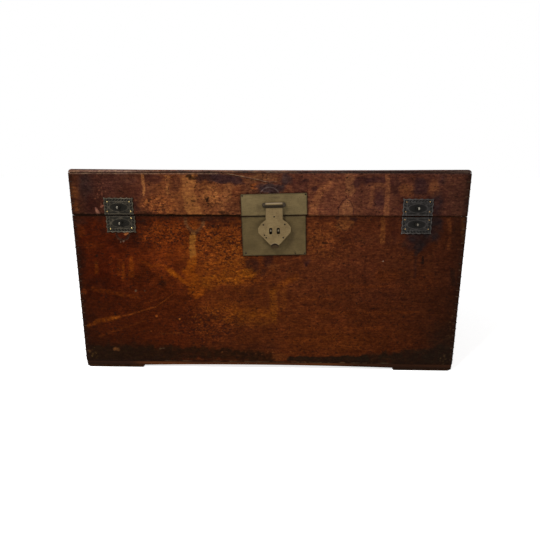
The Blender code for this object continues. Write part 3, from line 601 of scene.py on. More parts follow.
def paint_box_front(x, z):
    """Box's front: amber glow left of the middle, runs, scratches and soot along the foot."""
    high = ease(z, 80, 235)[:, None]
    ground = along(BOX_GROUND, x) * high + along(BOX_FOOT, x) * (1 - high)
    hide = Coats(x, z, ground, 9)
    paint_box_left(hide)
    paint_box_middle(hide)
    paint_box_right(hide)
    hide.mottle(0.34)
    # Grime and painted contact shade round the lower lock plate
    hide.run(plate_rim(LOWER_RIGHT, PLATE_FOOT - 0.5), 4.4, SOOT_AND_SHADE, 0.75, 0.9, 0.2)
    # Painted shade along the seam: a dark band below it, a dark line at its edge and dark specks and a pool
    # along it
    strong = 0.40 + 0.57 * ease(x, 100, 20)
    hide.coat(ease(z + 2.2 * hide.ragged, 303, 313) * strong, tone(44, 20, 12), 0.62)
    hide.coat(ease(z + 0.7 * hide.ragged, 313.6, 315.2) * strong, SOOT_AND_SHADE * 0.4, 0.97)
    hide.specks(-100, 309, 150, 5, 36, 2.4, SOOT_AND_SHADE, 0.7)
    hide.pool(-118, 312, 26, 6, tone(38, 19, 13), 0.7)
    paint_box_foot(hide)
    hide.coat(ease(np.abs(x), 365, 379), SOOT_AND_SHADE, 0.6)
    dots = (
        (-226, 113, 2.7, tone(142, 70, 22)),
        (-179, 107, 2.0, tone(146, 82, 30)),
        (-338, 237, 3.0, SOOT_AND_SHADE),
        (135, 300, 2.2, SOOT_AND_SHADE),
        (225, 230, 1.1, tone(160, 136, 116)),
        (-105, 297, 3.0, SOOT_AND_SHADE),
        (-265, 166, 2.2, tone(94, 76, 58)),
        (-247, 166, 1.6, tone(76, 54, 38)),
        (85, 94, 1.8, SOOT_AND_SHADE),
        (-211, 194, 2.2, SOOT_AND_SHADE),
        (-282, 266, 1.6, tone(118, 96, 80)),
        (-288, 265, 1.2, tone(104, 82, 66)),
    )
    for dot_x, dot_z, radius, colour in dots:
        hide.coat(ease(np.hypot(x - dot_x, z - dot_z), radius * 1.3, radius * 0.6), colour, 0.9)
    hide.run([(107, 265), (115, 265.6)], 4.0, SOOT_AND_SHADE * 0.6, 0.95, 0.5, 0.1, 0.95)
    return hide.paint()


def paint_box_left(hide):
    """Left third: dark red with amber drips, a diagonal run, long scratches, an old ring mark and the
    clasp's painted shadow.
    """
    hide.pool(-250, 150, 120, 40, tone(56, 19, 5), 0.6)
    hide.pool(-330, 280, 30, 26, tone(50, 17, 5), 0.4)
    hide.pool(-258, 268, 44, 24, tone(44, 15, 6), 0.62, 1.1, 0.4)
    hide.pool(-330, 164, 44, 34, tone(44, 14, 4), 0.6)
    hide.pool(-365, 288, 8, 12, tone(96, 43, 11), 0.45, 0.9, 0.3)
    hide.pool(-345, 258, 24, 7, tone(96, 42, 11), 0.5)
    hide.pool(-200, 284, 46, 20, tone(108, 49, 14), 0.7, 0.9, 0.4)
    hide.pool(-186, 252, 40, 20, tone(98, 41, 9), 0.5)
    # Painted shadow of the lower left clasp, below and right of it
    hide.pool(-262, 280, 14, 26, tone(34, 12, 6), 0.8, 0.9, 0.5)
    hide.pool(-248, 299, 13, 16, tone(40, 14, 7), 0.75, 0.9, 0.5)
    hide.pool(-235, 298, 14, 12, tone(46, 18, 8), 0.8)
    hide.pool(-290, 266, 30, 10, tone(46, 15, 6), 0.6)
    hide.pool(-368, 233, 11, 28, tone(26, 13, 8), 0.6)
    hide.pool(-366, 305, 13, 8, tone(60, 33, 22), 0.7)
    hide.pool(-342, 182, 24, 13, tone(28, 12, 6), 0.75)
    hide.pool(-371, 165, 6, 8, tone(112, 50, 16), 0.65, 0.7, 0.2)
    hide.pool(-246, 200, 18, 26, tone(48, 15, 4), 0.75, 0.9, 0.4)
    hide.run([(-340, 224), (-341, 203)], (8, 8), tone(112, 53, 10), 0.55, 0.8, 0.4, 0.4)
    hide.run([(-295, 228), (-297, 200)], (6, 7), tone(104, 46, 8), 0.45, 0.8, 0.4, 0.3)
    hide.run([(-310, 228), (-308, 196)], 6, tone(98, 38, 7), 0.45)
    hide.run([(-286, 222), (-288, 190)], (5, 8), tone(110, 51, 9), 0.55, 0.8, 0.4, 0.4)
    hide.run([(-270, 234), (-271, 200)], (8, 12), tone(108, 49, 8), 0.55, 0.8, 0.4, 0.4)
    level_drip = [(-253, 230), (-231, 216), (-213, 220), (-199, 213)]
    hide.run(level_drip, (4, 8), tone(108, 48, 8), 0.6, 0.7, 0.4, 0.3)
    hide.pool(-187, 204, 9, 8, tone(128, 65, 10), 0.85, 0.7, 0.5)
    hide.run([(-183, 200), (-173, 190), (-162, 179)], (11, 6), tone(116, 56, 9), 0.8, 0.7, 0.35, 0.5)
    hide.pool(-172, 216, 11, 13, tone(60, 21, 7), 0.6)
    hide.pool(-212, 179, 9, 8, tone(30, 14, 7), 0.65)
    hide.run([(-350, 170), (-326, 165), (-300, 159), (-258, 152)], (10, 6), tone(94, 41, 8), 0.65, 0.7)
    streak = [(-369, 90), (-353, 97), (-334, 103), (-316, 106), (-304, 110)]
    hide.run(streak, (8, 10), tone(112, 54, 9), 0.55, 1.0, 0.5, 0.0)
    hide.run(streak[2:], (3, 6), tone(126, 66, 14), 0.6, 0.8, 0.4, 0.3)
    scratch = [(-304, 110), (-279, 116), (-258, 123), (-227, 132), (-205, 148), (-187, 162)]
    hide.run(scratch, (3.4, 1.8), tone(104, 50, 14), 0.65, 0.8, 0.2, 0.3)
    hide.run([(-262, 135), (-226, 147), (-205, 155)], 2.8, tone(94, 42, 12), 0.5, 0.8, 0.2, 0.3)
    low_streak = [(-347, 67), (-331, 74), (-315, 79), (-283, 91), (-249, 103)]
    hide.run(low_streak, (5, 3), tone(88, 40, 11), 0.5, 1.0, 0.4, 0.1)
    hide.run([(-220, 75), (-176, 77)], 2.0, tone(100, 52, 19), 0.6, 0.7, 0.1, 0.5)
    hide.specks(-236, 80, 16, 10, 12, 1.2, tone(112, 56, 20), 0.65)
    hide.pool(-283, 281, 11, 11, tone(62, 23, 11), 0.75, 0.5, 0.6)
    hide.ring(-283, 281.0, 13.6, 1.4, tone(88, 70, 56), 0.4)
    hide.ring(-283, 281.0, 11.8, 3.8, tone(38, 27, 21), 0.95)
    hide.pool(-275, 281.5, 4.8, 3.4, tone(160, 96, 50), 0.95, 0.3, 1.0)
    hide.specks(-182, 280, 46, 26, 70, 1.5, tone(32, 10, 5), 0.7)
    hide.pool(-328, 187, 38, 38, tone(50, 9, 1), 0.42)
    hide.pool(-350, 262, 22, 40, tone(58, 15, 3), 0.35)
    hide.pool(-318, 300, 15, 17, tone(38, 15, 10), 0.6)
    hide.pool(-300, 256, 44, 12, tone(48, 12, 3), 0.4)
    hide.pool(-350, 300, 18, 17, tone(44, 15, 8), 0.4)
    hide.craze(-205, 282, 56, 28, 1.0)


def paint_box_middle(hide):
    """Middle third: amber glow beside and under the lock, a pale run and a mark like a shield."""
    hide.pool(-98, 246, 62, 44, tone(110, 54, 16), 0.6)
    hide.pool(-58, 238, 16, 28, tone(120, 62, 20), 0.65)
    hide.pool(-60, 226, 26, 12, tone(126, 67, 22), 0.5)
    hide.pool(-100, 307, 26, 11, tone(52, 24, 15), 0.6)
    hide.pool(-84, 206, 58, 26, tone(112, 55, 13), 0.65)
    hide.pool(-72, 197, 26, 14, tone(124, 66, 14), 0.6, 0.9, 0.4)
    hide.pool(-36, 205, 13, 10, tone(128, 70, 14), 0.75, 0.7, 0.4)
    hide.pool(-118, 187, 26, 14, tone(120, 63, 13), 0.6)
    hide.run([(-168, 308), (-60, 302)], 10, tone(62, 27, 14), 0.5)
    hide.pool(-50, 116, 66, 18, tone(110, 55, 14), 0.7)
    hide.pool(-90, 132, 44, 14, tone(104, 50, 14), 0.55)
    hide.pool(-118, 92, 28, 17, tone(94, 43, 14), 0.5)
    hide.pool(-30, 102, 40, 11, tone(96, 49, 16), 0.5)
    hide.pool(-62, 160, 50, 14, tone(70, 30, 10), 0.55)
    hide.run([(-145, 281), (-147, 252), (-149, 226)], 12, tone(128, 78, 30), 0.94, 0.3, 0.12, 0.95)
    spread = [(-149, 228), (-154, 206), (-150, 186), (-142, 170)]
    hide.run(spread, (20, 32), tone(123, 59, 10), 0.8, 0.6, 0.3, 0.6)
    hide.specks(-140, 104, 14, 22, 14, 1.4, tone(132, 70, 20), 0.65)
    hide.pool(-30, 222, 16, 11, tone(44, 22, 17), 0.85, 0.7, 0.6)
    hide.pool(0, 228, 11, 14, tone(40, 20, 17), 0.85, 0.8, 0.6)
    hide.pool(-14, 206, 17, 8, tone(50, 24, 16), 0.7)
    hide.pool(15, 217, 14, 6, tone(94, 51, 25), 0.6)
    hide.pool(76, 230, 7, 13, PURPLE, 0.75)
    hide.pool(-30, 162, 12, 12, tone(54, 26, 14), 0.6)
    hide.run([(56, 197), (40, 190), (26, 181), (12, 168)], (10, 12), tone(104, 51, 13), 0.7)
    hide.run([(12, 168), (12, 105)], 13, tone(108, 57, 15), 0.68, 0.7, 0.3, 0.4)
    hide.run([(31, 174), (31, 132)], (14, 12), tone(96, 48, 15), 0.6)
    hide.run([(-70, 118), (-26, 117), (16, 115)], (11, 9), tone(108, 56, 14), 0.7)
    hide.pool(-141, 302, 13, 14, tone(108, 54, 17), 0.7)
    shield = [(-159, 315), (-158, 302), (-152, 291), (-142, 283), (-132, 290), (-125, 301), (-124, 315)]
    hide.run(shield, 7.0, tone(94, 61, 36), 0.8, 0.8, 0.2, 0.6)
    hide.specks(-90, 190, 60, 40, 60, 1.4, tone(40, 16, 11), 0.6)
    hide.specks(-150, 90, 50, 26, 50, 1.5, tone(30, 11, 7), 0.7)
    hide.specks(-70, 285, 44, 30, 60, 1.5, tone(34, 12, 7), 0.75)
    hide.craze(-92, 262, 58, 46, 1.0)
    hide.craze(-120, 96, 66, 34, 0.9)
    hide.craze(-60, 196, 60, 20, 0.6)
    hide.craze(-147, 248, 8, 32, 0.1)


def paint_box_right(hide):
    """Right third: level grain, a pale drip, dark patches round the clasp and faint upright lines."""
    pale_grain = (50, 210, 152), (90, 300, 122), (60, 230, 88), (110, 260, 176), (40, 180, 62)
    for left, right, level in pale_grain:
        hide.run([(left, level), (right, level + 4)], (8, 5), tone(92, 42, 13), 0.4)
    dark_grain = (70, 250, 140), (120, 330, 104), (50, 200, 74), (150, 320, 164), (190, 330, 132)
    for left, right, level in dark_grain:
        hide.run([(left, level), (right, level + 3)], (6, 5), tone(50, 21, 10), 0.4)
    for top, foot, level in ((157, 160, 248), (190, 193, 230), (226, 228, 210)):
        hide.run([(top, level), (foot, 174)], 2.6, tone(48, 21, 11), 0.55)
    hide.pool(135, 62, 80, 18, tone(88, 41, 12), 0.5)
    hide.run([(150, 222), (190, 216)], (16, 14), tone(56, 25, 13), 0.4)
    hide.pool(169, 154, 22, 10, tone(52, 23, 13), 0.5)
    hide.run([(182, 152), (232, 160), (284, 151)], (12, 12), tone(48, 21, 13), 0.5)
    hide.pool(96, 268, 36, 30, tone(108, 57, 26), 0.7, 0.9, 0.3)
    hide.pool(118, 296, 14, 10, tone(104, 54, 25), 0.6)
    hide.pool(132, 246, 26, 22, tone(88, 44, 20), 0.45)
    hide.pool(200, 272, 26, 16, tone(70, 34, 19), 0.6)
    hide.pool(235, 200, 24, 14, tone(88, 40, 14), 0.5)
    hide.pool(310, 190, 22, 22, tone(76, 34, 14), 0.5)
    hide.run([(220, 318), (221, 292), (222, 268)], 9, tone(102, 57, 27), 0.85, 0.4, 0.2, 0.8)
    hide.pool(149, 303, 16, 12, tone(106, 61, 31), 0.8, 0.5, 0.6)
    hide.pool(165, 312, 6, 4, tone(38, 21, 20), 0.85, 0.5, 0.7)
    hide.pool(134, 314, 5, 3, tone(38, 21, 18), 0.8, 0.5, 0.7)
    arch = [(136, 302), (142, 293), (149, 289), (156, 293), (162, 302)]
    hide.run(arch, 2.4, tone(44, 22, 14), 0.7, 0.6, 0.2, 0.5)
    hide.pool(243, 292, 14, 22, tone(60, 27, 19), 0.6)
    hide.pool(235, 272, 12, 13, tone(52, 25, 16), 0.55)
    hide.pool(273, 297, 14, 12, tone(40, 25, 22), 0.6)
    hide.pool(118, 226, 18, 14, tone(94, 47, 22), 0.45)
    hide.pool(315, 296, 17, 28, tone(30, 23, 24), 0.97, 0.7, 0.5)
    hide.run([(288, 284), (289, 266), (287, 244)], (42, 5), tone(28, 22, 22), 0.96, 0.8, 0.4, 0.6)
    hide.pool(284, 264, 22, 15, tone(30, 22, 23), 0.6, 0.9, 0.5)
    hide.run([(287, 250), (289, 200)], (6, 4), tone(40, 22, 20), 0.7)
    hide.run([(301, 240), (302, 226)], (3.5, 4.5), tone(24, 14, 11), 0.9, 0.5, 0.2, 0.9)
    hide.pool(263, 263, 4, 6, tone(38, 22, 16), 0.7)
    hide.run([(345, 312), (349, 280), (350, 254)], (8, 6), tone(92, 48, 23), 0.65)
    hide.run([(361, 211), (366, 184)], (10, 8), tone(26, 14, 9), 0.8, 0.6, 0.3, 0.6)
    hide.pool(358, 296, 6, 40, tone(42, 22, 14), 0.5)
    hide.run([(371, 314), (378, 270)], (9, 7), tone(80, 48, 23), 0.6, 0.9, 0.4, 0.0)
    hide.specks(369, 88, 5, 50, 22, 1.5, tone(88, 62, 38), 0.6)
    hide.craze(120, 270, 60, 36, 0.6)


def paint_box_foot(hide):
    """Foot: a band of soot that thins towards the middle, a worn patch, pale flecks, a rubbed edge with a
    painted highlight.
    """
    x = hide.true_x
    z = hide.true_z
    hide.coat(ease(z + 7 * hide.ragged, 74, 36) * ease(x, -170, -270), tone(28, 14, 7), 0.8)
    hide.pool(-4, 47, 32, 12, tone(56, 26, 13), 0.55)
    hide.pool(-74, 50, 60, 10, tone(58, 26, 12), 0.45)
    band = [(-380, 27), (-262, 31), (-140, 34), (-60, 31), (6, 24)]
    hide.run(band, (40, 24), tone(28, 16, 8), 0.93, 0.7, 0.35, 0.7)
    hide.run([(45, 22), (130, 22), (200, 24)], (11, 18), tone(25, 18, 12), 0.95, 0.5, 0.25, 0.85)
    hide.run([(196, 24), (260, 27), (330, 29), (382, 32)], (20, 46), tone(25, 18, 12), 0.93, 0.8, 0.45, 0.7)
    hide.pool(352, 60, 30, 36, tone(28, 19, 13), 0.65, 1.5, 0.4)
    hide.coat(ease(z + 1.5 * hide.ragged, 20, 15.5), SOOT_AND_SHADE * 0.8, 0.7)
    hide.pool(24, 26, 17, 9, tone(86, 44, 18), 0.88, 0.6, 0.6)
    hide.pool(-314, 39, 6.5, 4.5, tone(106, 66, 34), 0.75, 0.6, 0.4)
    hide.pool(-368, 35, 3, 3, tone(98, 64, 34), 0.8, 0.5, 0.6)
    hide.specks(-364, 28, 9, 12, 16, 1.5, tone(78, 56, 29), 0.6)
    hide.specks(362, 28, 8, 14, 16, 1.5, tone(70, 54, 34), 0.6)
    hide.specks(-8, 38, 60, 8, 14, 1.2, tone(120, 68, 34), 0.65)
    hide.run([(-224, 42), (-214, 43)], 2.0, tone(84, 66, 46), 0.7, 0.6, 0.1, 0.8)
    # Pale line along the lower edge: wear and a painted highlight
    rubbed_and_lit = ease(np.abs(z - 15.4), 1.2, 0.4) * ease(hide.ragged, -0.3, 0.3)
    hide.coat(rubbed_and_lit * ease(np.abs(x), 270, 230), tone(88, 74, 54), 0.7)


def paint_plain(x, z, stations, seed, low, high):
    """A side or back: the same ground with runs of lacquer, smoky patches and a dark foot."""
    hide = Coats(x, z, along(stations, x), seed)
    draw = np.random.default_rng(seed)
    reach = np.abs(x).max()
    smoky = PURPLE, 0.4, 9, (18, 60), (8, 40)
    glowing = AMBER, 0.3, 7, (20, 70), (10, 40)
    for colour, strength, count, wide, tall in (smoky, glowing):
        for _ in range(count):
            place = draw.uniform(-reach, reach), draw.uniform(low, high)
            hide.pool(*place, draw.uniform(*wide), draw.uniform(*tall), colour, strength)
    for _ in range(6):
        place = draw.uniform(-reach, reach)
        foot = high - draw.uniform(0.2, 1.0) ** 2 * min(high - low, 130)
        drift = draw.uniform(-5, 5)
        width = draw.uniform(4, 16), draw.uniform(3, 9)
        hide.run([(place, high), (place + drift, foot)], width, TAN, draw.uniform(0.15, 0.5), 1.0, 0.5)
    hide.crazed[:] = 0.12
    for _ in range(5):
        place = draw.uniform(-reach, reach)
        hide.craze(place, draw.uniform(low, high), draw.uniform(30, 70), draw.uniform(15, 40), 0.6)
    hide.mottle(0.28)
    hide.coat(ease(z, low + 34, low + 6), SOOT_AND_SHADE, 0.55 if low < 100 else 0.3)
    hide.coat(ease(z, high - 6, high - 1), SOOT_AND_SHADE, 0.55)
    hide.coat(ease(np.abs(x), reach - 20, reach - 4), SOOT_AND_SHADE, 0.45)
    return hide.paint()


def paint_top(x, y):
    """Lid's top: smoky brown with worn tan along its rolled edges."""
    hide = Coats(x, y, along(LID_GROUND, x) * 0.92, 41)
    draw = np.random.default_rng(41)
    wide = np.abs(x).max()
    deep = np.abs(y).max()
    for colour, strength, count in ((PURPLE, 0.5, 14), (AMBER, 0.35, 10), (TAN, 0.35, 9)):
        for _ in range(count):
            place = draw.uniform(-wide, wide), draw.uniform(-deep, deep)
            hide.pool(*place, draw.uniform(20, 90), draw.uniform(12, 45), colour, strength)
    for _ in range(7):
        start = np.array((draw.uniform(-wide, wide), draw.uniform(-deep, deep)))
        swing = draw.uniform(-90, 90, 2)
        hide.run([start, start + swing], (3.2, 2.2), SCAR, 0.45, 0.5, 0.2)
    hide.mottle(0.28)
    edge = np.minimum(wide - np.abs(x), deep - np.abs(y))
    worn = ease(edge + 1.6 * hide.ragged, 7, 3)
    front = ease(y, 20 - deep, 8 - deep)
    hide.coat(worn * (1 - front), tone(92, 62, 46), 0.75)
    hide.coat(worn * front, along(FRONT_ROLL, x), 1.0)
    blots = ease(clouds(x, y, (60, 60), 46, 4), 0.0, 0.6) * (1 - 0.6 * front)
    hide.coat(worn * blots, tone(40, 26, 20), 0.8)
    return hide.paint()


# Finishes
def begin(name):
    """New material with its node tree and its shader."""
    material = bpy.data.materials.new(name)
    material.use_nodes = True
    tree = material.node_tree
    return material, tree, tree.nodes["Principled BSDF"]


def add(tree, kind, inputs=None, **settings):
    """New node, its inputs given as values or as other nodes' outputs."""
    node = tree.nodes.new(f"ShaderNode{kind}")
    for key, value in settings.items():
        setattr(node, key, value)
    for key, value in (inputs or {}).items():
        wire(tree, value, node.inputs[key])
    return node


def wire(tree, value, socket):
    """Link an output to a socket, or set the socket to a value."""
    if isinstance(value, bpy.types.NodeSocket):
        tree.links.new(value, socket)
    else:
        socket.default_value = value


def noise(tree, size, detail=4.0, rough=0.55, shift=0.0):
    """Noise on the object's coordinates with cells of that size in metres."""
    size = size if isinstance(size, tuple) else (size, size, size)
    place = add(tree, "TexCoord").outputs["Object"]
    scale = [1 / s for s in size]
    moved = add(tree, "Mapping", {"Vector": place, "Scale": scale, "Location": (shift, shift, shift)})
    inputs = {"Vector": moved.outputs[0], "Scale": 1.0, "Detail": detail, "Roughness": rough}
    return add(tree, "TexNoise", inputs).outputs[0]


def cracks(tree, size):
    """1 along the borders of random cells of that size in metres, 0 inside them."""
    place = add(tree, "TexCoord").outputs["Object"]
    bent = add(tree, "TexNoise", {"Vector": place, "Scale": 1.2 / size, "Detail": 3.0}).outputs["Color"]
    bent = add(tree, "VectorMath", {0: bent, "Scale": 0.6}, operation="SCALE").outputs[0]
    scaled = add(tree, "VectorMath", {0: place, "Scale": 1 / size}, operation="SCALE").outputs[0]
    total = add(tree, "VectorMath", {0: scaled, 1: bent}, operation="ADD").outputs[0]
    cells = add(tree, "TexVoronoi", {"Vector": total, "Scale": 1.0}, feature="DISTANCE_TO_EDGE")
    return levels(tree, cells.outputs["Distance"], 0.0, 0.07, 1.0, 0.0)


def levels(tree, value, low, high, to_low, to_high):
    """Value between low and high carried smoothly to another range."""
    inputs = {0: value, 1: low, 2: high, 3: to_low, 4: to_high}
    return add(tree, "MapRange", inputs, interpolation_type="SMOOTHSTEP").outputs[0]


def times(tree, a, b):
    """Product of two values."""
    return add(tree, "Math", {0: a, 1: b}, operation="MULTIPLY").outputs[0]


def plus(tree, a, b):
    """Sum of two values."""
    return add(tree, "Math", {0: a, 1: b}, operation="ADD").outputs[0]


def shade(tree, colour, share):
    """Colour made darker or lighter by a share."""
    return add(tree, "VectorMath", {0: colour, "Scale": share}, operation="SCALE").outputs[0]


def mix(tree, share, first, second):
    """First colour where the share is 0, second where it is 1."""
    first = first if isinstance(first, bpy.types.NodeSocket) else (*first, 1)
    second = second if isinstance(second, bpy.types.NodeSocket) else (*second, 1)
    return add(tree, "Mix", {0: share, 6: first, 7: second}, data_type="RGBA").outputs[2]


def bump(tree, shader, height, strength, distance):
    """Fine relief on the surface."""
    inputs = {"Height": height, "Strength": strength, "Distance": distance}
    node = add(tree, "Bump", inputs)
    tree.links.new(node.outputs[0], shader.inputs["Normal"])


def painted(tree):
    """Colour laid on the piece's points."""
    return add(tree, "Attribute", attribute_name="tone").outputs["Color"]


def tinted(tree, colour, share, low, high, amount=1.0):
    """Colour multiplied by the low tint where the share is 0 and the high one where it is 1."""
    tint = mix(tree, share, low, high)
    tint = mix(tree, amount, (1, 1, 1), tint)
    return add(tree, "VectorMath", {0: colour, 1: tint}, operation="MULTIPLY").outputs[0]


def hide_finish(name, grain):
    """Lacquered hide: painted tone, level grain, specks, crazing where it was painted, uneven gloss."""
    material, tree, shader = begin(name)
    paint = add(tree, "Attribute", attribute_name="tone")
    crazed = paint.outputs["Alpha"]
    streak = levels(tree, noise(tree, grain, 5.0, 0.62), 0.34, 0.66, 0.0, 1.0)
    colour = tinted(tree, paint.outputs["Color"], streak, (0.80, 0.74, 0.80), (1.18, 1.21, 1.15))
    fine = noise(tree, (0.0048, 0.0048, 0.0030), 3.0, 0.66, 3.1)
    specked = levels(tree, fine, 0.37, 0.63, 0.0, 1.0)
    amount = plus(tree, times(tree, crazed, 0.62), 0.52)
    colour = tinted(tree, colour, specked, (0.64, 0.55, 0.64), (1.34, 1.38, 1.24), amount)
    light = levels(tree, noise(tree, (0.0060, 0.0060, 0.0040), 2.0, 0.6, 9.4), 0.57, 0.64, 0.0, 0.80)
    colour = shade(tree, colour, plus(tree, times(tree, light, crazed), 1.0))
    fleck = levels(tree, noise(tree, (0.0074, 0.0074, 0.0042), 3.0, 0.62, 7.7), 0.53, 0.59, 0.0, 0.88)
    fleck = times(tree, fleck, crazed)
    colour = mix(tree, fleck, colour, (0.018, 0.0055, 0.004))
    pits = levels(tree, noise(tree, (0.0056, 0.0056, 0.0040), 2.0, 0.5, 12.9), 0.64, 0.68, 0.0, 0.72)
    colour = mix(tree, pits, colour, (0.010, 0.004, 0.003))
    scuffs = levels(tree, noise(tree, (0.0110, 0.0110, 0.0026), 3.0, 0.6, 15.1), 0.61, 0.68, 0.0, 0.55)
    colour = shade(tree, colour, plus(tree, scuffs, 1.0))
    lines = times(tree, cracks(tree, 0.0062), crazed)
    colour = mix(tree, times(tree, lines, 0.5), colour, (0.012, 0.005, 0.004))
    tree.links.new(colour, shader.inputs["Base Color"])
    gloss = levels(tree, noise(tree, 0.022, 4.0, 0.6, 5.3), 0.3, 0.7, 0.36, 0.58)
    tree.links.new(plus(tree, gloss, times(tree, fleck, 0.2)), shader.inputs["Roughness"])
    pores = times(tree, noise(tree, 0.0009, 2.0, 0.5, 2.2), 0.45)
    relief = plus(tree, plus(tree, times(tree, fine, 0.8), pores), times(tree, lines, -0.5))
    bump(tree, shader, relief, 0.25, 0.0006)
    shader.inputs["Specular IOR Level"].default_value = 0.03
    shader.inputs["Specular Tint"].default_value = (1.0, 0.62, 0.34, 1)
    return material


def thread_finish(name):
    """Stitching thread: its own tone, twisted strands and a matt face."""
    material, tree, shader = begin(name)
    strand = noise(tree, 0.0008, 3.0)
    colour = shade(tree, painted(tree), levels(tree, strand, 0.3, 0.7, 0.7, 1.25))
    tree.links.new(colour, shader.inputs["Base Color"])
    tree.links.new(levels(tree, strand, 0.3, 0.7, 0.7, 0.9), shader.inputs["Roughness"])
    bump(tree, shader, strand, 0.5, 0.0003)
    shader.inputs["Specular IOR Level"].default_value = 0.2
    return material


def metal_finish(name, tones, spot, gloss, metal=0.4, light_and_shade=None):
    """Aged metal: a bright and a dull tone in clouds, spots of tarnish, scratches and uneven gloss.

    Without tones the piece shows the colour laid on its points. Light and shade, if given, is a function of
    the tree and its colour that paints highlights and shade on places of the piece's own.
    """
    material, tree, shader = begin(name)
    cloud = noise(tree, 0.017, 5.0, 0.6, 1.3)
    if tones is None:
        colour = shade(tree, painted(tree), levels(tree, cloud, 0.32, 0.68, 0.92, 1.08))
    else:
        bright, dull = tones
        colour = mix(tree, levels(tree, cloud, 0.34, 0.66, 0.0, 1.0), dull, bright)
    speckle = noise(tree, 0.0026, 4.0, 0.62, 4.4)
    tarnish = levels(tree, speckle, 0.58, 0.72, 0.0, 0.6)
    colour = mix(tree, tarnish, colour, spot)
    # Painted light and shade on places of the piece's own, if given
    colour = light_and_shade(tree, colour) if light_and_shade else colour
    scratch = noise(tree, (0.012, 0.0009, 0.0006), 3.0, 0.5, 6.1)
    colour = shade(tree, colour, levels(tree, scratch, 0.3, 0.7, 0.88, 1.12))
    tree.links.new(colour, shader.inputs["Base Color"])
    rough = levels(tree, cloud, 0.3, 0.7, gloss + 0.10, gloss - 0.06)
    tree.links.new(plus(tree, rough, times(tree, tarnish, 0.25)), shader.inputs["Roughness"])
    relief = plus(tree, times(tree, scratch, 0.35), times(tree, tarnish, -0.5))
    bump(tree, shader, plus(tree, relief, times(tree, cloud, 0.3)), 0.20, 0.0005)
    shader.inputs["Metallic"].default_value = metal
    shader.inputs["Specular IOR Level"].default_value = 0.10
    return material


# Places along X between which the soot at a board's ends grows to its full share
SOOT_LEFT = -0.19, -0.27
SOOT_RIGHT = 0.11, 0.23


def place_along(tree, axis):
    """Place on the piece along X, Y or Z, numbered from 0, in metres."""
    return add(tree, "SeparateXYZ", {0: add(tree, "TexCoord").outputs["Object"]}).outputs[axis]


def wood_finish(name, light, dark, grain, gloss, soot=None, stained_from=None):
    """Board: bands of growth along its grain, fine pores, faint clouds of stain and a dry face.

    Soot gives the shares by which the left and right ends are blackened. A stained back is dark past
    that Y.
    """
    material, tree, shader = begin(name)
    band = noise(tree, grain, 6.0, 0.62, 2.0)
    colour = mix(tree, levels(tree, band, 0.30, 0.70, 0.0, 1.0), dark, light)
    stain = noise(tree, 0.12, 3.0, 0.5, 8.0)
    colour = shade(tree, colour, levels(tree, stain, 0.3, 0.7, 0.78, 1.16))
    fine = tuple(max(0.0007, 0.06 * size) for size in grain)
    pore = levels(tree, noise(tree, fine, 3.0, 0.6, 5.0), 0.55, 0.68, 0.0, 0.55)
    colour = mix(tree, pore, colour, [0.45 * c for c in dark])
    if soot is not None:
        place = plus(tree, place_along(tree, 0), times(tree, stain, 0.06))
        colour = mix(tree, levels(tree, place, *SOOT_LEFT, 0.0, soot[0]), colour, SOOT_AND_SHADE)
        colour = mix(tree, levels(tree, place, *SOOT_RIGHT, 0.0, soot[1]), colour, SOOT_AND_SHADE)
    if stained_from is not None:
        past = levels(tree, place_along(tree, 1), stained_from - 0.0006, stained_from + 0.0004, 0.0, 0.93)
        colour = mix(tree, past, colour, SOOT_AND_SHADE)
    tree.links.new(colour, shader.inputs["Base Color"])
    tree.links.new(levels(tree, band, 0.3, 0.7, gloss + 0.1, gloss - 0.05), shader.inputs["Roughness"])
    bump(tree, shader, plus(tree, times(tree, band, 0.6), times(tree, pore, -0.6)), 0.3, 0.0005)
    shader.inputs["Specular IOR Level"].default_value = 0.03
    return material


GRAIN_LONG = 0.020
GRAIN_SHORT = 0.0030
WALL_HIDE = hide_finish("lacquered_hide_wall", (GRAIN_LONG, GRAIN_LONG, GRAIN_SHORT))
TOP_HIDE_FINISH = hide_finish("lacquered_hide_top", (GRAIN_LONG, GRAIN_SHORT, GRAIN_SHORT))
THREAD = thread_finish("waxed_thread")
BRASS = metal_finish("aged_brass", (tone(128, 110, 76), tone(100, 84, 56)), tone(58, 46, 30), 0.46)
BRASS_PLATE = metal_finish("aged_brass_plate", None, tone(64, 50, 32), 0.50)
EYE_BRASS = metal_finish("worn_eye_brass", (tone(70, 60, 47), tone(44, 38, 30)), tone(28, 23, 17), 0.40)
BRIGHT_NAIL = tone(214, 188, 122), tone(170, 140, 84)
DULL_NAIL = tone(150, 120, 78), tone(108, 82, 52)
NAIL_BRASS = {
    "left": metal_finish("nail_brass", BRIGHT_NAIL, tone(90, 68, 40), 0.30, metal=0.7),
    "right": metal_finish("nail_dull", DULL_NAIL, tone(70, 50, 34), 0.36, metal=0.7),
}
DENT_BRASS = metal_finish("worn_rivet", (tone(46, 38, 28), tone(32, 26, 18)), tone(20, 16, 11), 0.5)
BRONZE = metal_finish("dark_bronze", None, tone(18, 16, 13), 0.44)
BRONZE_TURNED = metal_finish("dark_bronze_turned", None, tone(22, 19, 16), 0.32)
STEEL = metal_finish("pin_steel", (tone(150, 146, 138), tone(112, 106, 98)), tone(70, 54, 42), 0.36)
CAMPHOR = tone(196, 152, 108), tone(142, 98, 62)
CAMPHOR_LONG = wood_finish("camphor_long", *CAMPHOR, (0.30, 0.010, 0.010), 0.62, stained_from=HINGE[1])
CAMPHOR_DEEP = wood_finish("camphor_deep", *CAMPHOR, (0.010, 0.30, 0.010), 0.62, stained_from=HINGE[1])
BOARD_TONES = tone(106, 59, 28), tone(60, 32, 16)
STAINED_LONG = wood_finish("stained_long", *BOARD_TONES, (0.22, 0.006, 0.006), 0.55, (0.9, 0.85))
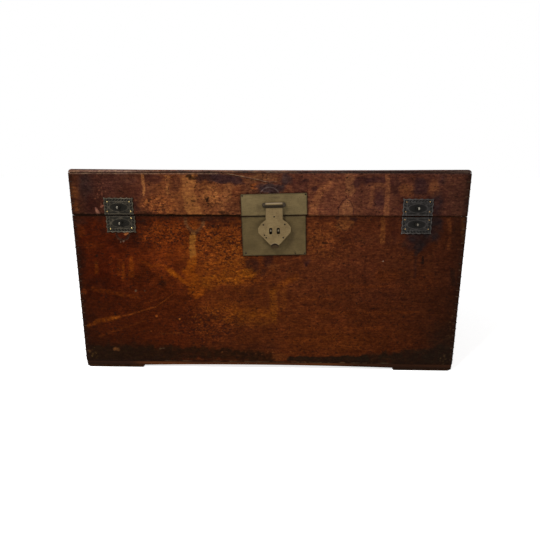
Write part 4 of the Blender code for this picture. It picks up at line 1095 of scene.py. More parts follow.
SKID_TONES = tone(62, 36, 17), tone(36, 20, 9)
STAINED_DEEP = wood_finish("stained_deep", *SKID_TONES, (0.006, 0.22, 0.006), 0.55, (0.1, 0.6))


# Hides
def stand(side, sideways, out, up):
    """World points of a side: along it to its right, out from the trunk's middle, and up."""
    turn = radians(SIDES[side][0])
    x = sideways * cos(turn) + out * sin(turn)
    y = sideways * sin(turn) - out * cos(turn)
    return np.stack(np.broadcast_arrays(x, y + MIDDLE_Y, up), axis=-1)


def rolled(half, radius, last, steps, pitch):
    """Stations across a sheet that bends at both ends: centre of the bend or flat, and angle turned.

    Each bend has its radius and takes as many steps up to its last angle.
    """
    bend = np.linspace(0, last, steps)
    flat = half - radius
    straight = np.linspace(-flat, flat, int(2 * flat / pitch) + 1)
    core = np.concatenate([np.full(steps - 1, -flat), straight, np.full(steps - 1, flat)])
    angle = np.concatenate([-bend[:0:-1], np.zeros(len(straight)), bend[1:]])
    return core, angle


def hide_sheet(name, side, span, pitch, paint, top_edge, body):
    """Sheet over one side: a path along the side and round half of each corner, carried up.

    Radius about the corner's centre grows from the inner face to the outer one over each soft edge,
    and a low swell of clouds lies on the outer face. The edge at the seam follows the hinge groove.
    """
    turn, half, across = SIDES[side]
    low, high = span
    middle, angle = rolled(half, WALL_ROUND, pi / 4 - CORNER_GAP, 7, pitch)
    outer = stand(side, middle + WALL_ROUND * np.sin(angle), across - WALL_ROUND * (1 - np.cos(angle)), 0.0)
    cut = np.maximum(0, outer[:, 1] - HINGE[1]) * GROOVE
    at_seam = np.where(cut > 0, cut + GROOVE_CLEAR, 0)
    foot = np.maximum(low, SEAM + at_seam) if body == "lid" else np.full(len(middle), low)
    head = np.minimum(high, SEAM - at_seam) if body == "box" else np.full(len(middle), high)
    count = int((high - low) / pitch)
    share = np.linspace(0, 1, count)
    rise = np.array((0, 0, 0.25, 1.0))
    inset = np.array((HIDE, HIDE_EDGE, 0.3 * HIDE_EDGE, 0))
    inset_top = np.array((0, 0.3 * top_edge, top_edge, HIDE))
    lower = foot[:, None] + rise * HIDE_EDGE
    upper = head[:, None] - rise[::-1] * top_edge
    between = lower[:, -1:] + (upper[:, :1] - lower[:, -1:]) * share
    up = np.concatenate([lower[:, :-1], between, upper[:, 1:]], axis=1)
    inward = np.concatenate([inset[:-1], np.zeros(count), inset_top[1:]])
    mm_along = (middle + WALL_ROUND * angle) / MM
    grid_x = np.broadcast_to(mm_along[:, None], up.shape)
    calm = ease(np.minimum(up - foot[:, None], head[:, None] - up), 0.002, 0.012)
    swell = SWELL * calm * clouds(grid_x, up / MM, 70, 3 + turn, 3)
    radius = WALL_ROUND - inward + np.where(inward > 0, 0, swell)
    sideways = middle[:, None] + radius * np.sin(angle)[:, None]
    out = across - WALL_ROUND + radius * np.cos(angle)[:, None]
    points = stand(side, sideways, out, up)
    colour = paint(grid_x.ravel(), up.ravel() / MM).reshape(*up.shape, 4)
    colour[:, inward >= HIDE, :3] = RAW
    piece_name = f"{body}_hide_{side}"
    make(piece_name, tube(points), WALL_HIDE, body, [name], colour.reshape(-1, 4))


def plain(stations, seed, span):
    """Painter of a side or back between two heights."""
    return lambda x, z: paint_plain(x, z, stations, seed, span[0] / MM, span[1] / MM)


for number, side in enumerate(SIDES):
    box_pitch = FINE_PITCH["box"] if side == "front" else PLAIN_PITCH
    lid_pitch = FINE_PITCH["lid"] if side == "front" else PLAIN_PITCH
    box_paint = paint_box_front if side == "front" else plain(BOX_GROUND, 60 + number, BOX_HIDE)
    lid_paint = paint_lid_front if side == "front" else plain(LID_GROUND, 80 + number, LID_HIDE)
    hide_sheet(f"box_leather_{side}", side, BOX_HIDE, box_pitch, box_paint, HIDE_EDGE, "box")
    hide_sheet(f"lid_leather_{side}", side, LID_HIDE, lid_pitch, lid_paint, LID_HIDE_EDGE, "lid")


def top_hide():
    """Top sheet: a flat core whose edges roll over quarter rounds, fuller at the rim and sagging inside.

    Each point lies on the core plus the round's radius along the mean of the two edges' normals. The sag
    falls off as the square of the distance from the middle.
    """
    wide = rolled(HALF_WIDTH, EDGE_ROUND, pi / 2, 9, PLAIN_PITCH)
    deep = rolled(HALF_DEPTH, EDGE_ROUND, pi / 2, 9, PLAIN_PITCH)
    core_x, angle_x = (row[None, :] for row in wide)
    core_y, angle_y = (row[:, None] for row in deep)
    upward = np.cos(angle_x) * np.cos(angle_y)
    normal = np.stack(np.broadcast_arrays(np.sin(angle_x), np.sin(angle_y), upward), axis=-1)
    normal = normal / np.linalg.norm(normal, axis=-1, keepdims=True)
    level = LID_TOP - EDGE_ROUND
    core = np.stack(np.broadcast_arrays(core_x, core_y + MIDDLE_Y, level), axis=-1)
    x = np.broadcast_to((core_x + EDGE_ROUND * angle_x) / MM, core.shape[:2])
    y = np.broadcast_to((core_y + EDGE_ROUND * angle_y) / MM, core.shape[:2])
    fuller = TOP_FULLER * ease(normal[..., 2], 0.8, 0.1)
    sag = TOP_SAG * (1 - (x * MM / HALF_WIDTH) ** 2) * ease(normal[..., 2], 0.1, 0.9)
    swell = 0.6 * SWELL * clouds(x, y, 80, 12, 3)
    outer = core + (EDGE_ROUND + fuller + swell)[..., None] * normal
    outer[..., 2] -= sag
    inner = core + (EDGE_ROUND - HIDE - TOP_CLEAR) * normal
    colour = paint_top(x.ravel(), y.ravel())
    raw = np.broadcast_to(np.append(RAW, 0), colour.shape)
    surface = slab(outer, inner)
    every = np.concatenate([colour, raw])
    make("lid_hide_top", surface, TOP_HIDE_FINISH, "lid", ["lid_leather_top"], every)


top_hide()

LIFTED_BORDER = np.array([(-80, 396.4), (-60, 392), (-43, 388.6), (-18, 384), (4, 379.6), (24, 381)])
LIFTED_HEAD = 397.2


def lifted_edge():
    """Torn strip of hide at the lid's top edge: a thin sheet whose lower border curls off the face."""
    steps = np.linspace(0, 1, 70)
    place = np.linspace(0, 1, len(LIFTED_BORDER))
    x = np.interp(steps, place, LIFTED_BORDER[:, 0])
    z = np.interp(steps, place, LIFTED_BORDER[:, 1]) + 0.7 * clouds(x, x * 0, 9, 77, 3)
    across = np.linspace(0, 1, 12)[None, :]
    height = z[:, None] + (LIFTED_HEAD - z[:, None]) * across
    from_border = across * (LIFTED_HEAD + 0.2 - z[:, None])
    hump = np.sin(pi * np.clip(steps, 0.03, 0.97))[:, None]
    lift = 0.16 + 0.95 * np.exp(-from_border / 2.2) * hump
    grid_x = np.broadcast_to(x[:, None], height.shape)
    front = np.stack([grid_x * MM, FRONT_Y - (lift + 0.30) * MM, height * MM], axis=-1)
    back = np.stack([grid_x * MM, FRONT_Y - (lift - 0.40) * MM, height * MM], axis=-1)
    face = paint_lid_front(grid_x.ravel(), height.ravel())[:, :3]
    hide = Coats(grid_x.ravel(), height.ravel(), face, 15)
    hide.pool(-6, 390, 20, 6, tone(104, 66, 42), 0.7)
    hide.pool(-40, 394, 40, 4, PURPLE, 0.3)
    edge = ease(from_border.ravel(), 1.8, 0.4)
    ends = ease(hide.true_x, -84, -66) * ease(hide.true_x, 24, 6)
    hide.coat(edge * ends * hide.broken, tone(128, 106, 86), 0.8)
    every = np.concatenate([hide.paint(), np.broadcast_to(np.append(SOOT_AND_SHADE, 0.3), (hide.x.size, 4))])
    make("lid_lifted_edge", slab(front, back), WALL_HIDE, "lid", (), every)


lifted_edge()

STITCH_PITCH = 0.0135
STITCH_REACH = 0.0052
STITCH = 0.00055
STITCH_FROM_FOOT = 0.010
STITCH_FROM_HEAD = 0.007
STITCH_FROM_GROOVE = 0.012


def stitches(body, span):
    """Threads across the corners: each bends round the corner's arc and dips in at both ends."""
    low, high = span
    draw = np.random.default_rng(23)
    rows = np.arange(low + STITCH_FROM_FOOT, high - STITCH_FROM_HEAD, STITCH_PITCH)
    bend = pi / 4 * WALL_ROUND
    s = np.linspace(-bend - STITCH_REACH, bend + STITCH_REACH, 15)
    turn = np.clip(s / WALL_ROUND, -pi / 4, pi / 4)
    beyond = s - np.clip(s, -bend, bend)
    rise = -0.0007 + 0.0011 * ease(np.abs(s), s.max(), s.max() - 0.0022)
    around = np.linspace(0, 2 * pi, 6, endpoint=False)
    shells = []
    colours = []
    for along_x, along_y in ((-1, -1), (1, -1), (1, 1), (-1, 1)):
        centre_x = along_x * (HALF_WIDTH - WALL_ROUND)
        centre_y = MIDDLE_Y + along_y * (HALF_DEPTH - WALL_ROUND)
        centre = np.array((centre_x, centre_y))
        heading = np.arctan2(along_y, along_x) + turn
        radial = np.stack([np.cos(heading), np.sin(heading)], axis=-1)
        forward = np.stack([-np.sin(heading), np.cos(heading)], axis=-1)
        for level in rows:
            if along_y > 0 and abs(level - SEAM) < STITCH_FROM_GROOVE:
                continue
            slant = draw.uniform(-0.0012, 0.0012)
            thick = STITCH * draw.uniform(0.8, 1.2)
            line = centre + radial * (WALL_ROUND + rise)[:, None] + forward * beyond[:, None]
            ring_out = np.cos(around)[None, :] * thick
            ring_up = np.sin(around)[None, :] * thick
            flat = line[:, None, :] + radial[:, None, :] * ring_out[..., None]
            up = level + slant * (s / s.max())[:, None] + ring_up
            shells.append(tube(np.concatenate([flat, up[..., None]], axis=-1)))
            worn = draw.uniform(0, 1)
            colour = tone(36, 20, 12) * (1 - worn**2) + tone(86, 64, 44) * worn**2
            colours.append(np.tile(colour, (len(s) * len(around), 1)))
    make(f"{body}_stitches", joined(shells), THREAD, body, (), np.concatenate(colours))


stitches("box", BOX_HIDE)
stitches("lid", LID_HIDE)


# Shared shapes of the metalwork
def curved(points, steps=6):
    """Smooth run through profile points, each span a cubic led by its neighbours."""
    p = np.array(points, float)
    ends = np.concatenate([2 * p[:1] - p[1:2], p, 2 * p[-1:] - p[-2:-1]])
    a, b, c, d = (ends[i : len(ends) - 3 + i, None, :] for i in range(4))
    t = np.linspace(0, 1, steps, endpoint=False)[None, :, None]
    run = 0.5 * (2 * b + (c - a) * t + (2 * a - 5 * b + 4 * c - d) * t**2 + (3 * b - a - 3 * c + d) * t**3)
    return np.concatenate([run.reshape(-1, 2), p[-1:]])


def hoop(section, centre, axis, sides=32):
    """Closed section of (radius, height) points turned about an axis into a ring."""
    axis, spoke = spokes(axis, sides)
    radius, height = np.array(section, float).T
    points = centre + radius[None, :, None] * spoke[:, None, :] + height[None, :, None] * axis
    around = len(radius)
    faces = grid_quads(sides + 1, around, wrap=True) % (sides * around)
    return points.reshape(-1, 3), faces.tolist()


def dome(centre, axis, radius, height, sides=14):
    """Nail head: a quarter round turned about its shank."""
    t = np.linspace(0, radians(82), 5)
    cap = np.stack([radius * np.cos(t), height * np.sin(t)], axis=-1)
    foot = [(0.8 * radius, -0.0004), (radius, -0.0002)]
    return turned(np.concatenate([foot, cap]), centre, axis, sides)


def edged(half, pitch):
    """Stations across a plate, close together near both edges."""
    near = np.array((0, 0.2, 0.45, 0.8, 1.2, 1.6))
    inside = half - 2.2
    middle = np.linspace(-inside, inside, int(2 * inside / pitch) + 1)
    return np.concatenate([near - half, middle, half - near[::-1]])


# Lock plates, in millimetres from the lock's middle on the trunk's face
LOCK = HASP_PIVOT - PIVOT_RISE * UP - PIVOT_OUT * OUT
PLATE_FACE = 1.8
PLATE_BACK = 0.3
PLATE_GAP = 0.9
PLATE_CORNER = 1.5
PLATE_PITCH = 1.5
TACKS = (3 - PLATE_HALF, 39.2), (PLATE_HALF - 3, 39.2), (6 - PLATE_HALF, -71.2), (LOWER_RIGHT - 3, -73.6)


def on_lock(right, up, out):
    """World points of places right of, above and out from the lock's middle, in millimetres."""
    right, up, out = (np.asarray(v)[..., None] * MM for v in np.broadcast_arrays(right, up, out))
    return LOCK + right * RIGHT + up * UP + out * OUT


def lock_plate(node, body, low, high, right_end, ground, marks):
    """Plate of the lock: a sheet with worn corners, hammered dents and painted shade along its edges."""
    middle = (low + high) / 2
    up = edged((high - low) / 2, PLATE_PITCH) + middle
    from_end = np.minimum(up - low, high - up)
    worn = np.sqrt(np.maximum(0, PLATE_CORNER**2 - np.maximum(0, PLATE_CORNER - from_end) ** 2))
    half = (right_end + PLATE_HALF) / 2
    reach = half - PLATE_CORNER + worn
    beside = edged(half, PLATE_PITCH) / half * reach[:, None]
    right = beside + right_end - half
    grid_up = np.broadcast_to(up[:, None], right.shape)
    from_edge = np.minimum(from_end[:, None], reach[:, None] - np.abs(beside))
    dents = 0.05 * clouds(right, grid_up, 19, 51, 3) * ease(from_edge, 0, 6)
    face = PLATE_FACE - 0.45 * ease(from_edge, 0.7, 0) + dents
    front = on_lock(right, grid_up, face)
    back = on_lock(right, grid_up, PLATE_BACK)
    coats = Coats(right.ravel(), grid_up.ravel(), np.tile(ground, (right.size, 1)), 52)
    coats.pool(-40, 30, 26, 9, ground * 1.12, 0.6)
    coats.pool(38, -45, 18, 26, ground * 1.10, 0.6)
    coats.pool(-48, -60, 14, 18, ground * 0.86, 0.6)
    coats.pool(0, 2, 70, 4, ground * 0.80, 0.6)
    marks(coats)
    mottling = 0.10 * clouds(right, grid_up, 13, 57, 4).ravel()
    coats.colour = coats.colour * np.exp(mottling)[:, None]
    # Painted shade along the plate's edges
    coats.coat(ease(from_edge.ravel() + 0.4 * coats.ragged, 2.4, 0.4), ground * 0.35, 0.85)
    every = np.concatenate([coats.colour, np.broadcast_to(ground * 0.5, coats.colour.shape)])
    make(f"{node}_sheet", slab(front, back), BRASS_PLATE, body, [node], every)


def upper_marks(coats):
    """Rub under the barrel and a stain above it."""
    coats.pool(-26, 12, 7, 9, tone(78, 64, 42), 0.5)
    coats.pool(4, 34, 8, 1.6, tone(70, 58, 40), 0.6)


def lower_marks(coats):
    """Crack near the lower right corner, a painted shadow of the hasp beside it and painted shade behind
    its slots.
    """
    coats.run([(40.5, -76.5), (39, -72), (37.0, -68)], (2.6, 0.7), tone(30, 24, 16), 0.9, 0.5, 0.05)
    # Painted shadow of the hasp on the plate, right of it
    coats.pool(30, -36, 9, 22, tone(60, 48, 31), 0.45)
    coats.pool(57, -33, 2.0, 2.0, tone(56, 45, 30), 0.6)
    # Painted shade behind the hasp's slots
    for slot_place in (-7.25, 7.25):
        coats.pool(slot_place, -28, 5.5, 8.5, tone(14, 11, 8), 1.0, 0.3)


lock_plate("lock_plate_upper", "lid", PLATE_GAP, PLATE_TOP, PLATE_HALF, tone(101, 86, 57), upper_marks)
lock_plate("lock_plate_lower", "box", PLATE_FOOT, -PLATE_GAP, LOWER_RIGHT, tone(83, 69, 43), lower_marks)

tacks = [dome(on_lock(right, up, PLATE_FACE), OUT, 0.0017, 0.0007, 10) for right, up in TACKS]
make("lock_tacks_upper", joined(tacks[:2]), DENT_BRASS, "lid")
make("lock_tacks_lower", joined(tacks[2:]), DENT_BRASS, "box")

# Hasp with dots in millimetres right of and below its pivot, its eyes and pin in metres
HASP_LEAN = radians(4.5)
HASP_DOWN = -UP * cos(HASP_LEAN) + OUT * sin(HASP_LEAN)
HASP_FACE = OUT * cos(HASP_LEAN) + UP * sin(HASP_LEAN)
HASP_DOTS = (-20.7, 36.7), (19.8, 36.7), (-19.0, 56.4), (-16.0, 61.2), (16.4, 61.9), (0, 21.9)
EYE_AWAY = 0.01895
EYE_HALF = 0.0019
EYE_RADIUS = 0.0044
EYE_BORE = 0.0020
EYE_SOFT = 0.0005
EYE_SECTION = [
    (EYE_RADIUS - EYE_SOFT, -EYE_HALF),
    (EYE_RADIUS, EYE_SOFT - EYE_HALF),
    (EYE_RADIUS, EYE_HALF - EYE_SOFT),
    (EYE_RADIUS - EYE_SOFT, EYE_HALF),
    (EYE_BORE, EYE_HALF),
    (EYE_BORE, -EYE_HALF),
]
EYE_SHANK = [(0.0016, -0.0030), (0.0016, -0.0190)]
PIN_END = [
    (0.0010, -0.02215),
    (0.0029, -0.02208),
    (0.0038, -0.02170),
    (0.0038, -0.02135),
    (0.0034, -0.02120),
    (0.0015, -0.02115),
]


def reach_from(tree, start, way):
    """Distance of a place on the piece from a start along a way, in metres."""
    place = add(tree, "TexCoord").outputs["Object"]
    away = add(tree, "VectorMath", {0: place, 1: start}, operation="SUBTRACT").outputs[0]
    return add(tree, "VectorMath", {0: away, 1: way}, operation="DOT_PRODUCT").outputs["Value"]


def hasp_light_and_shade(tree, colour):
    """Painted highlight on the barrel and shade under it, neck edges dark with rust and shade, a lit tip
    edge, a shaded tongue.
    """
    down = reach_from(tree, HASP_PIVOT, HASP_DOWN)
    right = reach_from(tree, HASP_PIVOT, RIGHT)
    aside = add(tree, "Math", {0: right}, operation="ABSOLUTE").outputs[0]
    # Painted shade on the barrel's lower half and just under it
    below = levels(tree, down, -0.0022, 0.0006, 0, 0.93)
    under = times(tree, below, levels(tree, down, 0.0066, 0.0046, 0, 1))
    colour = mix(tree, under, colour, tone(32, 26, 19))
    # Painted highlight along the barrel's top
    colour = mix(tree, levels(tree, down, -0.0018, -0.0034, 0, 0.7), colour, tone(150, 134, 112))
    # Neck edges darkened: rust and painted shade
    neck = times(tree, levels(tree, aside, 0.0149, 0.0160, 0, 0.6), levels(tree, down, 0.030, 0.026, 0, 1))
    colour = mix(tree, neck, colour, tone(52, 42, 28))
    # Painted highlight along the edge of the tip's bend
    tip = plus(tree, down, times(tree, times(tree, right, right), -66))
    colour = mix(tree, levels(tree, tip, 0.0704, 0.0718, 0, 0.12), colour, tone(176, 162, 136))
    # Painted shade on the tongue, darkest at its bend
    tongue = mix(tree, levels(tree, tip, 0.0736, 0.0775, 0, 1), tone(24, 15, 7), tone(58, 43, 24))
    return mix(tree, levels(tree, tip, 0.0722, 0.0729, 0, 1), colour, tongue)


def staple_slot_shade(tree, colour):
    """Bright nose, with painted shade above and below it where the slots are dark."""
    nose = lock_spot(0, 21.9 - 49 * cos(HASP_LEAN))[1] * MM
    rise = reach_from(tree, (0.0, 0.0, nose), (0.0, 0.0, 1.0))
    far = add(tree, "Math", {0: rise}, operation="ABSOLUTE").outputs[0]
    # Painted shade above and below the nose
    return mix(tree, levels(tree, far, 0.0014, 0.0030, 0, 0.97), colour, tone(14, 11, 8))


HASP_TONES = tone(122, 103, 70), tone(107, 89, 60)
HASP_BRASS = metal_finish("hasp_brass", HASP_TONES, tone(58, 46, 30), 0.48, metal=0.35, light_and_shade=hasp_light_and_shade)
STAPLE_TONES = tone(122, 112, 92), tone(92, 80, 62)
STAPLE_BRASS = metal_finish("staple_brass", STAPLE_TONES, tone(50, 40, 28), 0.4, light_and_shade=staple_slot_shade)
softened("hasp", HASP_BRASS, "hasp", 0.00035)
hasp_dots = []
for right, down in HASP_DOTS:
    place = HASP_PIVOT + right * MM * RIGHT + down * MM * HASP_DOWN + 0.0009 * HASP_FACE
    hasp_dots.append(dome(place, HASP_FACE, 0.0016, 0.00045, 12))
make("hasp_rivets", joined(hasp_dots), DENT_BRASS, "hasp")

for side, sign in (("left", -1), ("right", 1)):
    middle = HASP_PIVOT + sign * EYE_AWAY * RIGHT
    ring = hoop(EYE_SECTION, middle, RIGHT)
    shank = turned(EYE_SHANK, middle, OUT, 16)
    eye = f"hasp_eye_{side}"
    make(f"{eye}_ring", joined([ring, shank]), EYE_BRASS, "lid", [eye])
    softened(f"lock_staple_{side}", STAPLE_BRASS, "box", 0.0005, 3)

rod = PIN_END + [(radius, -height) for radius, height in PIN_END[::-1]]
make("hasp_pin_rod", turned(rod, HASP_PIVOT, RIGHT, 24), EYE_BRASS, "lid", ["hasp_pin"])

# Clasp plates and their studs, in millimetres from the plate's middle, the seam and the trunk's face
CLASP_HALF = 28.25
CLASP_NEAR = 0.9
CLASP_FAR = 33.1
CLASP_FACE = 1.65
CLASP_BACK = 0.3
SCALLOP = 0.6
STUD_RISE = 15.2
OVAL_WIDE = 18.4
OVAL_HIGH = 8.3
BRONZE_DARK = tone(11, 10, 8)
# Pale tone of the rubbed relief, also of the painted highlight on the rim by the seam
BRONZE_RUBBED_AND_LIT = {"left": tone(106, 96, 79), "right": tone(100, 94, 90)}
STUD = [(2.4, 1.2), (3.55, 1.6), (3.3, 2.4), (2.25, 3.7), (1.95, 5.6), (2.75, 7.0), (3.1, 8.6), (2.5, 9.9)]
STUD += [(0.25, 10.5)]
STUD_DARK = tone(30, 27, 23)
# Colour of the painted highlight on each stud's head
STUD_HIGHLIGHT = {
    "upper_left": tone(122, 115, 101),
    "lower_left": tone(116, 108, 94),
    "upper_right": tone(151, 144, 129),
    "lower_right": tone(108, 101, 90),
}
# How far right of the stud's middle its painted highlight lies, in millimetres
STUD_HIGHLIGHT_SHIFT = {"left": 0.1, "right": -0.6}

CLASP_NAILS = {
    "clasp_plate_upper_left": ((-21.4, 25.9), (21.2, 26.0), (-22.6, 7.2), (23.2, 7.2)),
    "clasp_plate_lower_left": ((-21.0, 25.9), (20.7, 24.6), (20.7, 5.4)),
    "clasp_plate_upper_right": ((-21.8, 27.2), (21.8, 27.8), (-22.6, 9.0), (22.2, 9.0)),
    "clasp_plate_lower_right": ((-21.0, 23.9), (22.4, 24.2), (-22.8, 6.1), (23.0, 6.6)),
}


def oval_reach(x, v):
    """0 in the middle of a clasp plate's oval dish and 1 on its border."""
    return np.hypot(x / OVAL_WIDE, (v - STUD_RISE) / OVAL_HIGH)


def clasp_relief(x, v, from_side, from_far):
    """Height over the plate: rim, band of scrolls, frame line, field of leaves and an oval dish.

    Rim, line and the dish's border are bells across their middle lines. Scrolls and leaves are cosines
    along the band and round the oval.
    """
    edge = np.minimum(from_side, from_far)
    run = np.where(from_far < from_side, x, v)
    rim = np.exp(-(((edge - 0.9) / 0.8) ** 2))
    line = np.exp(-(((edge - 7.5) / 0.65) ** 2))
    scroll = np.cos(2 * pi * run / 5.8 + 1.1 * np.sin(pi * (edge - 4.2) / 2.6))
    band = np.exp(-(((edge - 4.2) / 1.9) ** 2))
    height = 0.55 * rim + 0.30 * line + 0.52 * band * scroll - 0.30 * band
    field = ease(edge, 7.6, 8.6)
    oval = oval_reach(x, v)
    around = np.arctan2((v - STUD_RISE) / OVAL_HIGH, x / OVAL_WIDE)
    leaf = np.cos(8 * around) * np.cos(5.2 * (oval - 1.2))
    height += field * (0.30 * leaf * ease(oval, 1.05, 1.2) - 0.15)
    height += 0.34 * np.exp(-(((oval - 1.0) / 0.085) ** 2))
    height -= 0.34 * np.maximum(0, 1 - oval**2) * ease(oval, 1.0, 0.9)
    return height


def clasp_plate(node, body):
    """Clasp plate: a scalloped outline with the relief on its face, dark in the hollows, with painted shade
    and a painted highlight by the seam.
    """
    low, high = corners(node)
    middle = (low[0] + high[0]) / 2
    way = 1 if body == "lid" else -1
    u = np.linspace(-1, 1, 121)[None, :]
    t = np.linspace(0, 1, 73)[:, None]
    x = u * (CLASP_HALF + SCALLOP * np.cos(2 * pi * 3 * t) * np.abs(u) ** 8)
    v = CLASP_NEAR + (CLASP_FAR - CLASP_NEAR) * t + SCALLOP * np.cos(pi * 5 * (u + 1)) * t**8
    from_side = CLASP_HALF * (1 - np.abs(u)) + 0 * t
    from_far = (CLASP_FAR - CLASP_NEAR) * (1 - t) + 0 * u
    height = clasp_relief(x, v, from_side, from_far)
    rim = np.minimum(np.minimum(from_side, from_far), v - CLASP_NEAR)
    face = CLASP_FACE + height - 0.5 * ease(rim, 0.7, 0)
    up = SEAM + way * v * MM
    front = np.stack(np.broadcast_arrays(middle + x * MM, FRONT_Y - face * MM, up), axis=-1)
    back = np.stack(np.broadcast_arrays(middle + x * MM, FRONT_Y - CLASP_BACK * MM, up), axis=-1)
    rubbed_and_lit = ease(height + 0.14 * clouds(x + middle / MM, v, 5, 91, 3), -0.62, 0.70)
    rubbed_and_lit = 0.05 + 0.72 * rubbed_and_lit**2.5 * (0.85 + 0.40 * clouds(x + middle / MM, v, 17, 93, 3))
    # Painted shade in the seam gap: the edge by the seam stays dark
    rubbed_and_lit = rubbed_and_lit * ease(v - CLASP_NEAR, 0.2, 1.2)
    rubbed_and_lit = rubbed_and_lit * (1 - 0.20 * ease(oval_reach(x, v), 1.0, 0.85))
    # Painted highlight on the rim by the seam, stronger on the lid's plate
    seam_highlight = 0.26 if body == "lid" else 0.13
    rubbed_and_lit = rubbed_and_lit + seam_highlight * np.exp(-(((v - CLASP_NEAR - 1.9) / 0.9) ** 2))
    share = np.clip(rubbed_and_lit, 0, 1).ravel()[:, None]
    side = node.split("_")[-1]
    colour = BRONZE_DARK * (1 - share) + BRONZE_RUBBED_AND_LIT[side] * share
    every = np.concatenate([colour, np.broadcast_to(BRONZE_DARK, colour.shape)])
    make(f"{node}_cast", slab(front, back), BRONZE, body, [node], every, crease=60)
    nails = []
    for right, above in CLASP_NAILS[node]:
        place = np.array((middle + right * MM, FRONT_Y - 1.5 * MM, SEAM + way * above * MM))
        nails.append(dome(place, OUT, 0.00135, 0.0012, 14))
    make(f"{node}_nails", joined(nails), NAIL_BRASS[side], body)


def clasp_stud(node, body):
    """Turned knob, dark, with a painted highlight: one bright streak on its head."""
    low, high = corners(node)
    foot = np.array(((low[0] + high[0]) / 2, FRONT_Y, (low[2] + high[2]) / 2))
    points, faces = turned(curved(STUD) * MM, foot, OUT, 28)
    right, out, up = ((points - foot) / MM * (1, -1, 1)).T
    level, side = node.split("_")[-2:]
    # Painted highlight: a bright streak on the head
    aside = np.hypot((right - STUD_HIGHLIGHT_SHIFT[side]) / 1.5, (up - 0.5) / 2.6)
    share = (ease(aside, 1.3, 0.5) * ease(out, 5.6, 8.4))[:, None]
    colour = STUD_DARK * (1 - share) + STUD_HIGHLIGHT[f"{level}_{side}"] * share
    make(f"{node}_knob", (points, faces), BRONZE_TURNED, body, [node], colour)


for side in ("left", "right"):
    for level, body in (("upper", "lid"), ("lower", "box")):
        clasp_plate(f"clasp_plate_{level}_{side}", body)
        clasp_stud(f"clasp_stud_{level}_{side}", body)

# Side bails with their eyes and rosettes, shaped in millimetres but for the shank
BAIL_Z = JOINTS["bail_right_swing"]["pos_m"][2]
BAIL_X = JOINTS["bail_right_swing"]["pos_m"][0]
BAIL_DROP = 46
BAIL_ARM = 45.7
BAIL_END = 55.4
BAIL_THIN = 2.3
BAIL_GRIP = 4.2
BAIL_BENDS = [
    (BAIL_END, 0, 0),
    (BAIL_ARM, 0, 6),
    (BAIL_ARM, -BAIL_DROP, 18),
    (-BAIL_ARM, -BAIL_DROP, 18),
    (-BAIL_ARM, 0, 6),
    (-BAIL_END, 0, 0),
]
BAIL_EYE = [(2.8, -1.1), (3.3, -1.7), (5.0, -1.7), (5.6, -1.0)]
BAIL_EYE += [(radius, -height) for radius, height in BAIL_EYE[::-1]]
BAIL_SHANK = [(0.0016, 0.0045), (0.0016, 0.0240)]
ROSETTE = [(2.2, 0.3), (10.6, 0.3), (11.0, 0.5), (11.0, 0.9), (10.2, 1.4), (9.0, 1.75), (7.6, 2.2)]
ROSETTE += [(6.3, 2.65), (4.6, 2.75), (3.2, 2.6), (2.2, 2.4)]


def bail(side, sign):
    """Handle: a round bar along a path of straights and bends, thick in the grip and thin in the eyes."""
    path = rounded_path(BAIL_BENDS, 12)
    length = np.concatenate([[0], np.cumsum(np.hypot(*(path[1:] - path[:-1]).T))])
    steps = np.linspace(0, length[-1], 130)
    y = np.interp(steps, length, path[:, 0])
    z = np.interp(steps, length, path[:, 1])
    along_y = np.gradient(y)
    along_z = np.gradient(z)
    size = np.hypot(along_y, along_z)
    drop = -z
    grip = BAIL_GRIP * np.minimum(1, 0.6 + drop / BAIL_DROP)
    thick = BAIL_THIN + ease(drop, 3.0, 7.0) * (grip - BAIL_THIN)
    swell = 0.12 * clouds(y, z, 14, 71, 2) * ease(drop, 8, 16)
    angle = np.linspace(0, 2 * pi, 20, endpoint=False)[None, :]
    radius = (thick + swell)[:, None]
    side_way = np.stack([0 * y, -along_z / size, along_y / size], axis=-1)[:, None, :]
    outward = np.array((1.0, 0.0, 0.0))
    middle = np.stack([0 * y, y, z], axis=-1)[:, None, :]
    ring = radius[..., None] * (np.cos(angle)[..., None] * side_way + np.sin(angle)[..., None] * outward)
    place = np.array((sign * BAIL_X, MIDDLE_Y, BAIL_Z))
    name = f"bail_{side}"
    make(f"{name}_bar", tube(place + (middle + ring) * MM), BRASS, name, [name])


def rosette(node, centre, way):
    """Back plate of a bail eye: a low disc turned about its hole, its face raised in petals."""
    points, faces = hoop(np.array(ROSETTE) * MM, np.zeros(3), (1.0, 0.0, 0.0), 72)
    away = np.hypot(points[:, 1], points[:, 2]) / MM
    angle = np.arctan2(points[:, 2], points[:, 1])
    petals = np.cos(10 * angle) * ease(away, 5.2, 8.5) * ease(points[:, 0] / MM, 0.8, 1.3)
    points[:, 0] += 0.28 * MM * petals
    points = centre + points * np.array((way, 1.0, 1.0))
    make(f"{node}_disc", (points, faces), BRASS, "box", [node])


for side, sign in (("left", -1), ("right", 1)):
    bail(side, sign)
    for letter, way in (("a", -1), ("b", 1)):
        node = f"bail_rosette_{side}_{letter}"
        low, high = corners(node)
        middle = (low + high) / 2
        rosette(node, np.array((sign * HALF_WIDTH, middle[1], middle[2])), sign)
        eye = f"bail_eye_{side}_{letter}"
        low, high = corners(eye)
        centre = np.array((sign * BAIL_X, (low[1] + high[1]) / 2, BAIL_Z))
        ring = hoop(np.array(BAIL_EYE) * MM, centre, (0.0, 1.0, 0.0))
        shank = turned(BAIL_SHANK, centre, (-sign, 0.0, 0.0), 16)
        make(f"{eye}_ring", joined([ring, shank]), BRASS, "box", [eye])

# Hinges at the back
for side in ("left", "right"):
    for body in ("box", "lid"):
        softened(f"hinge_leaf_{body}_{side}", BRASS, body, 0.00025)

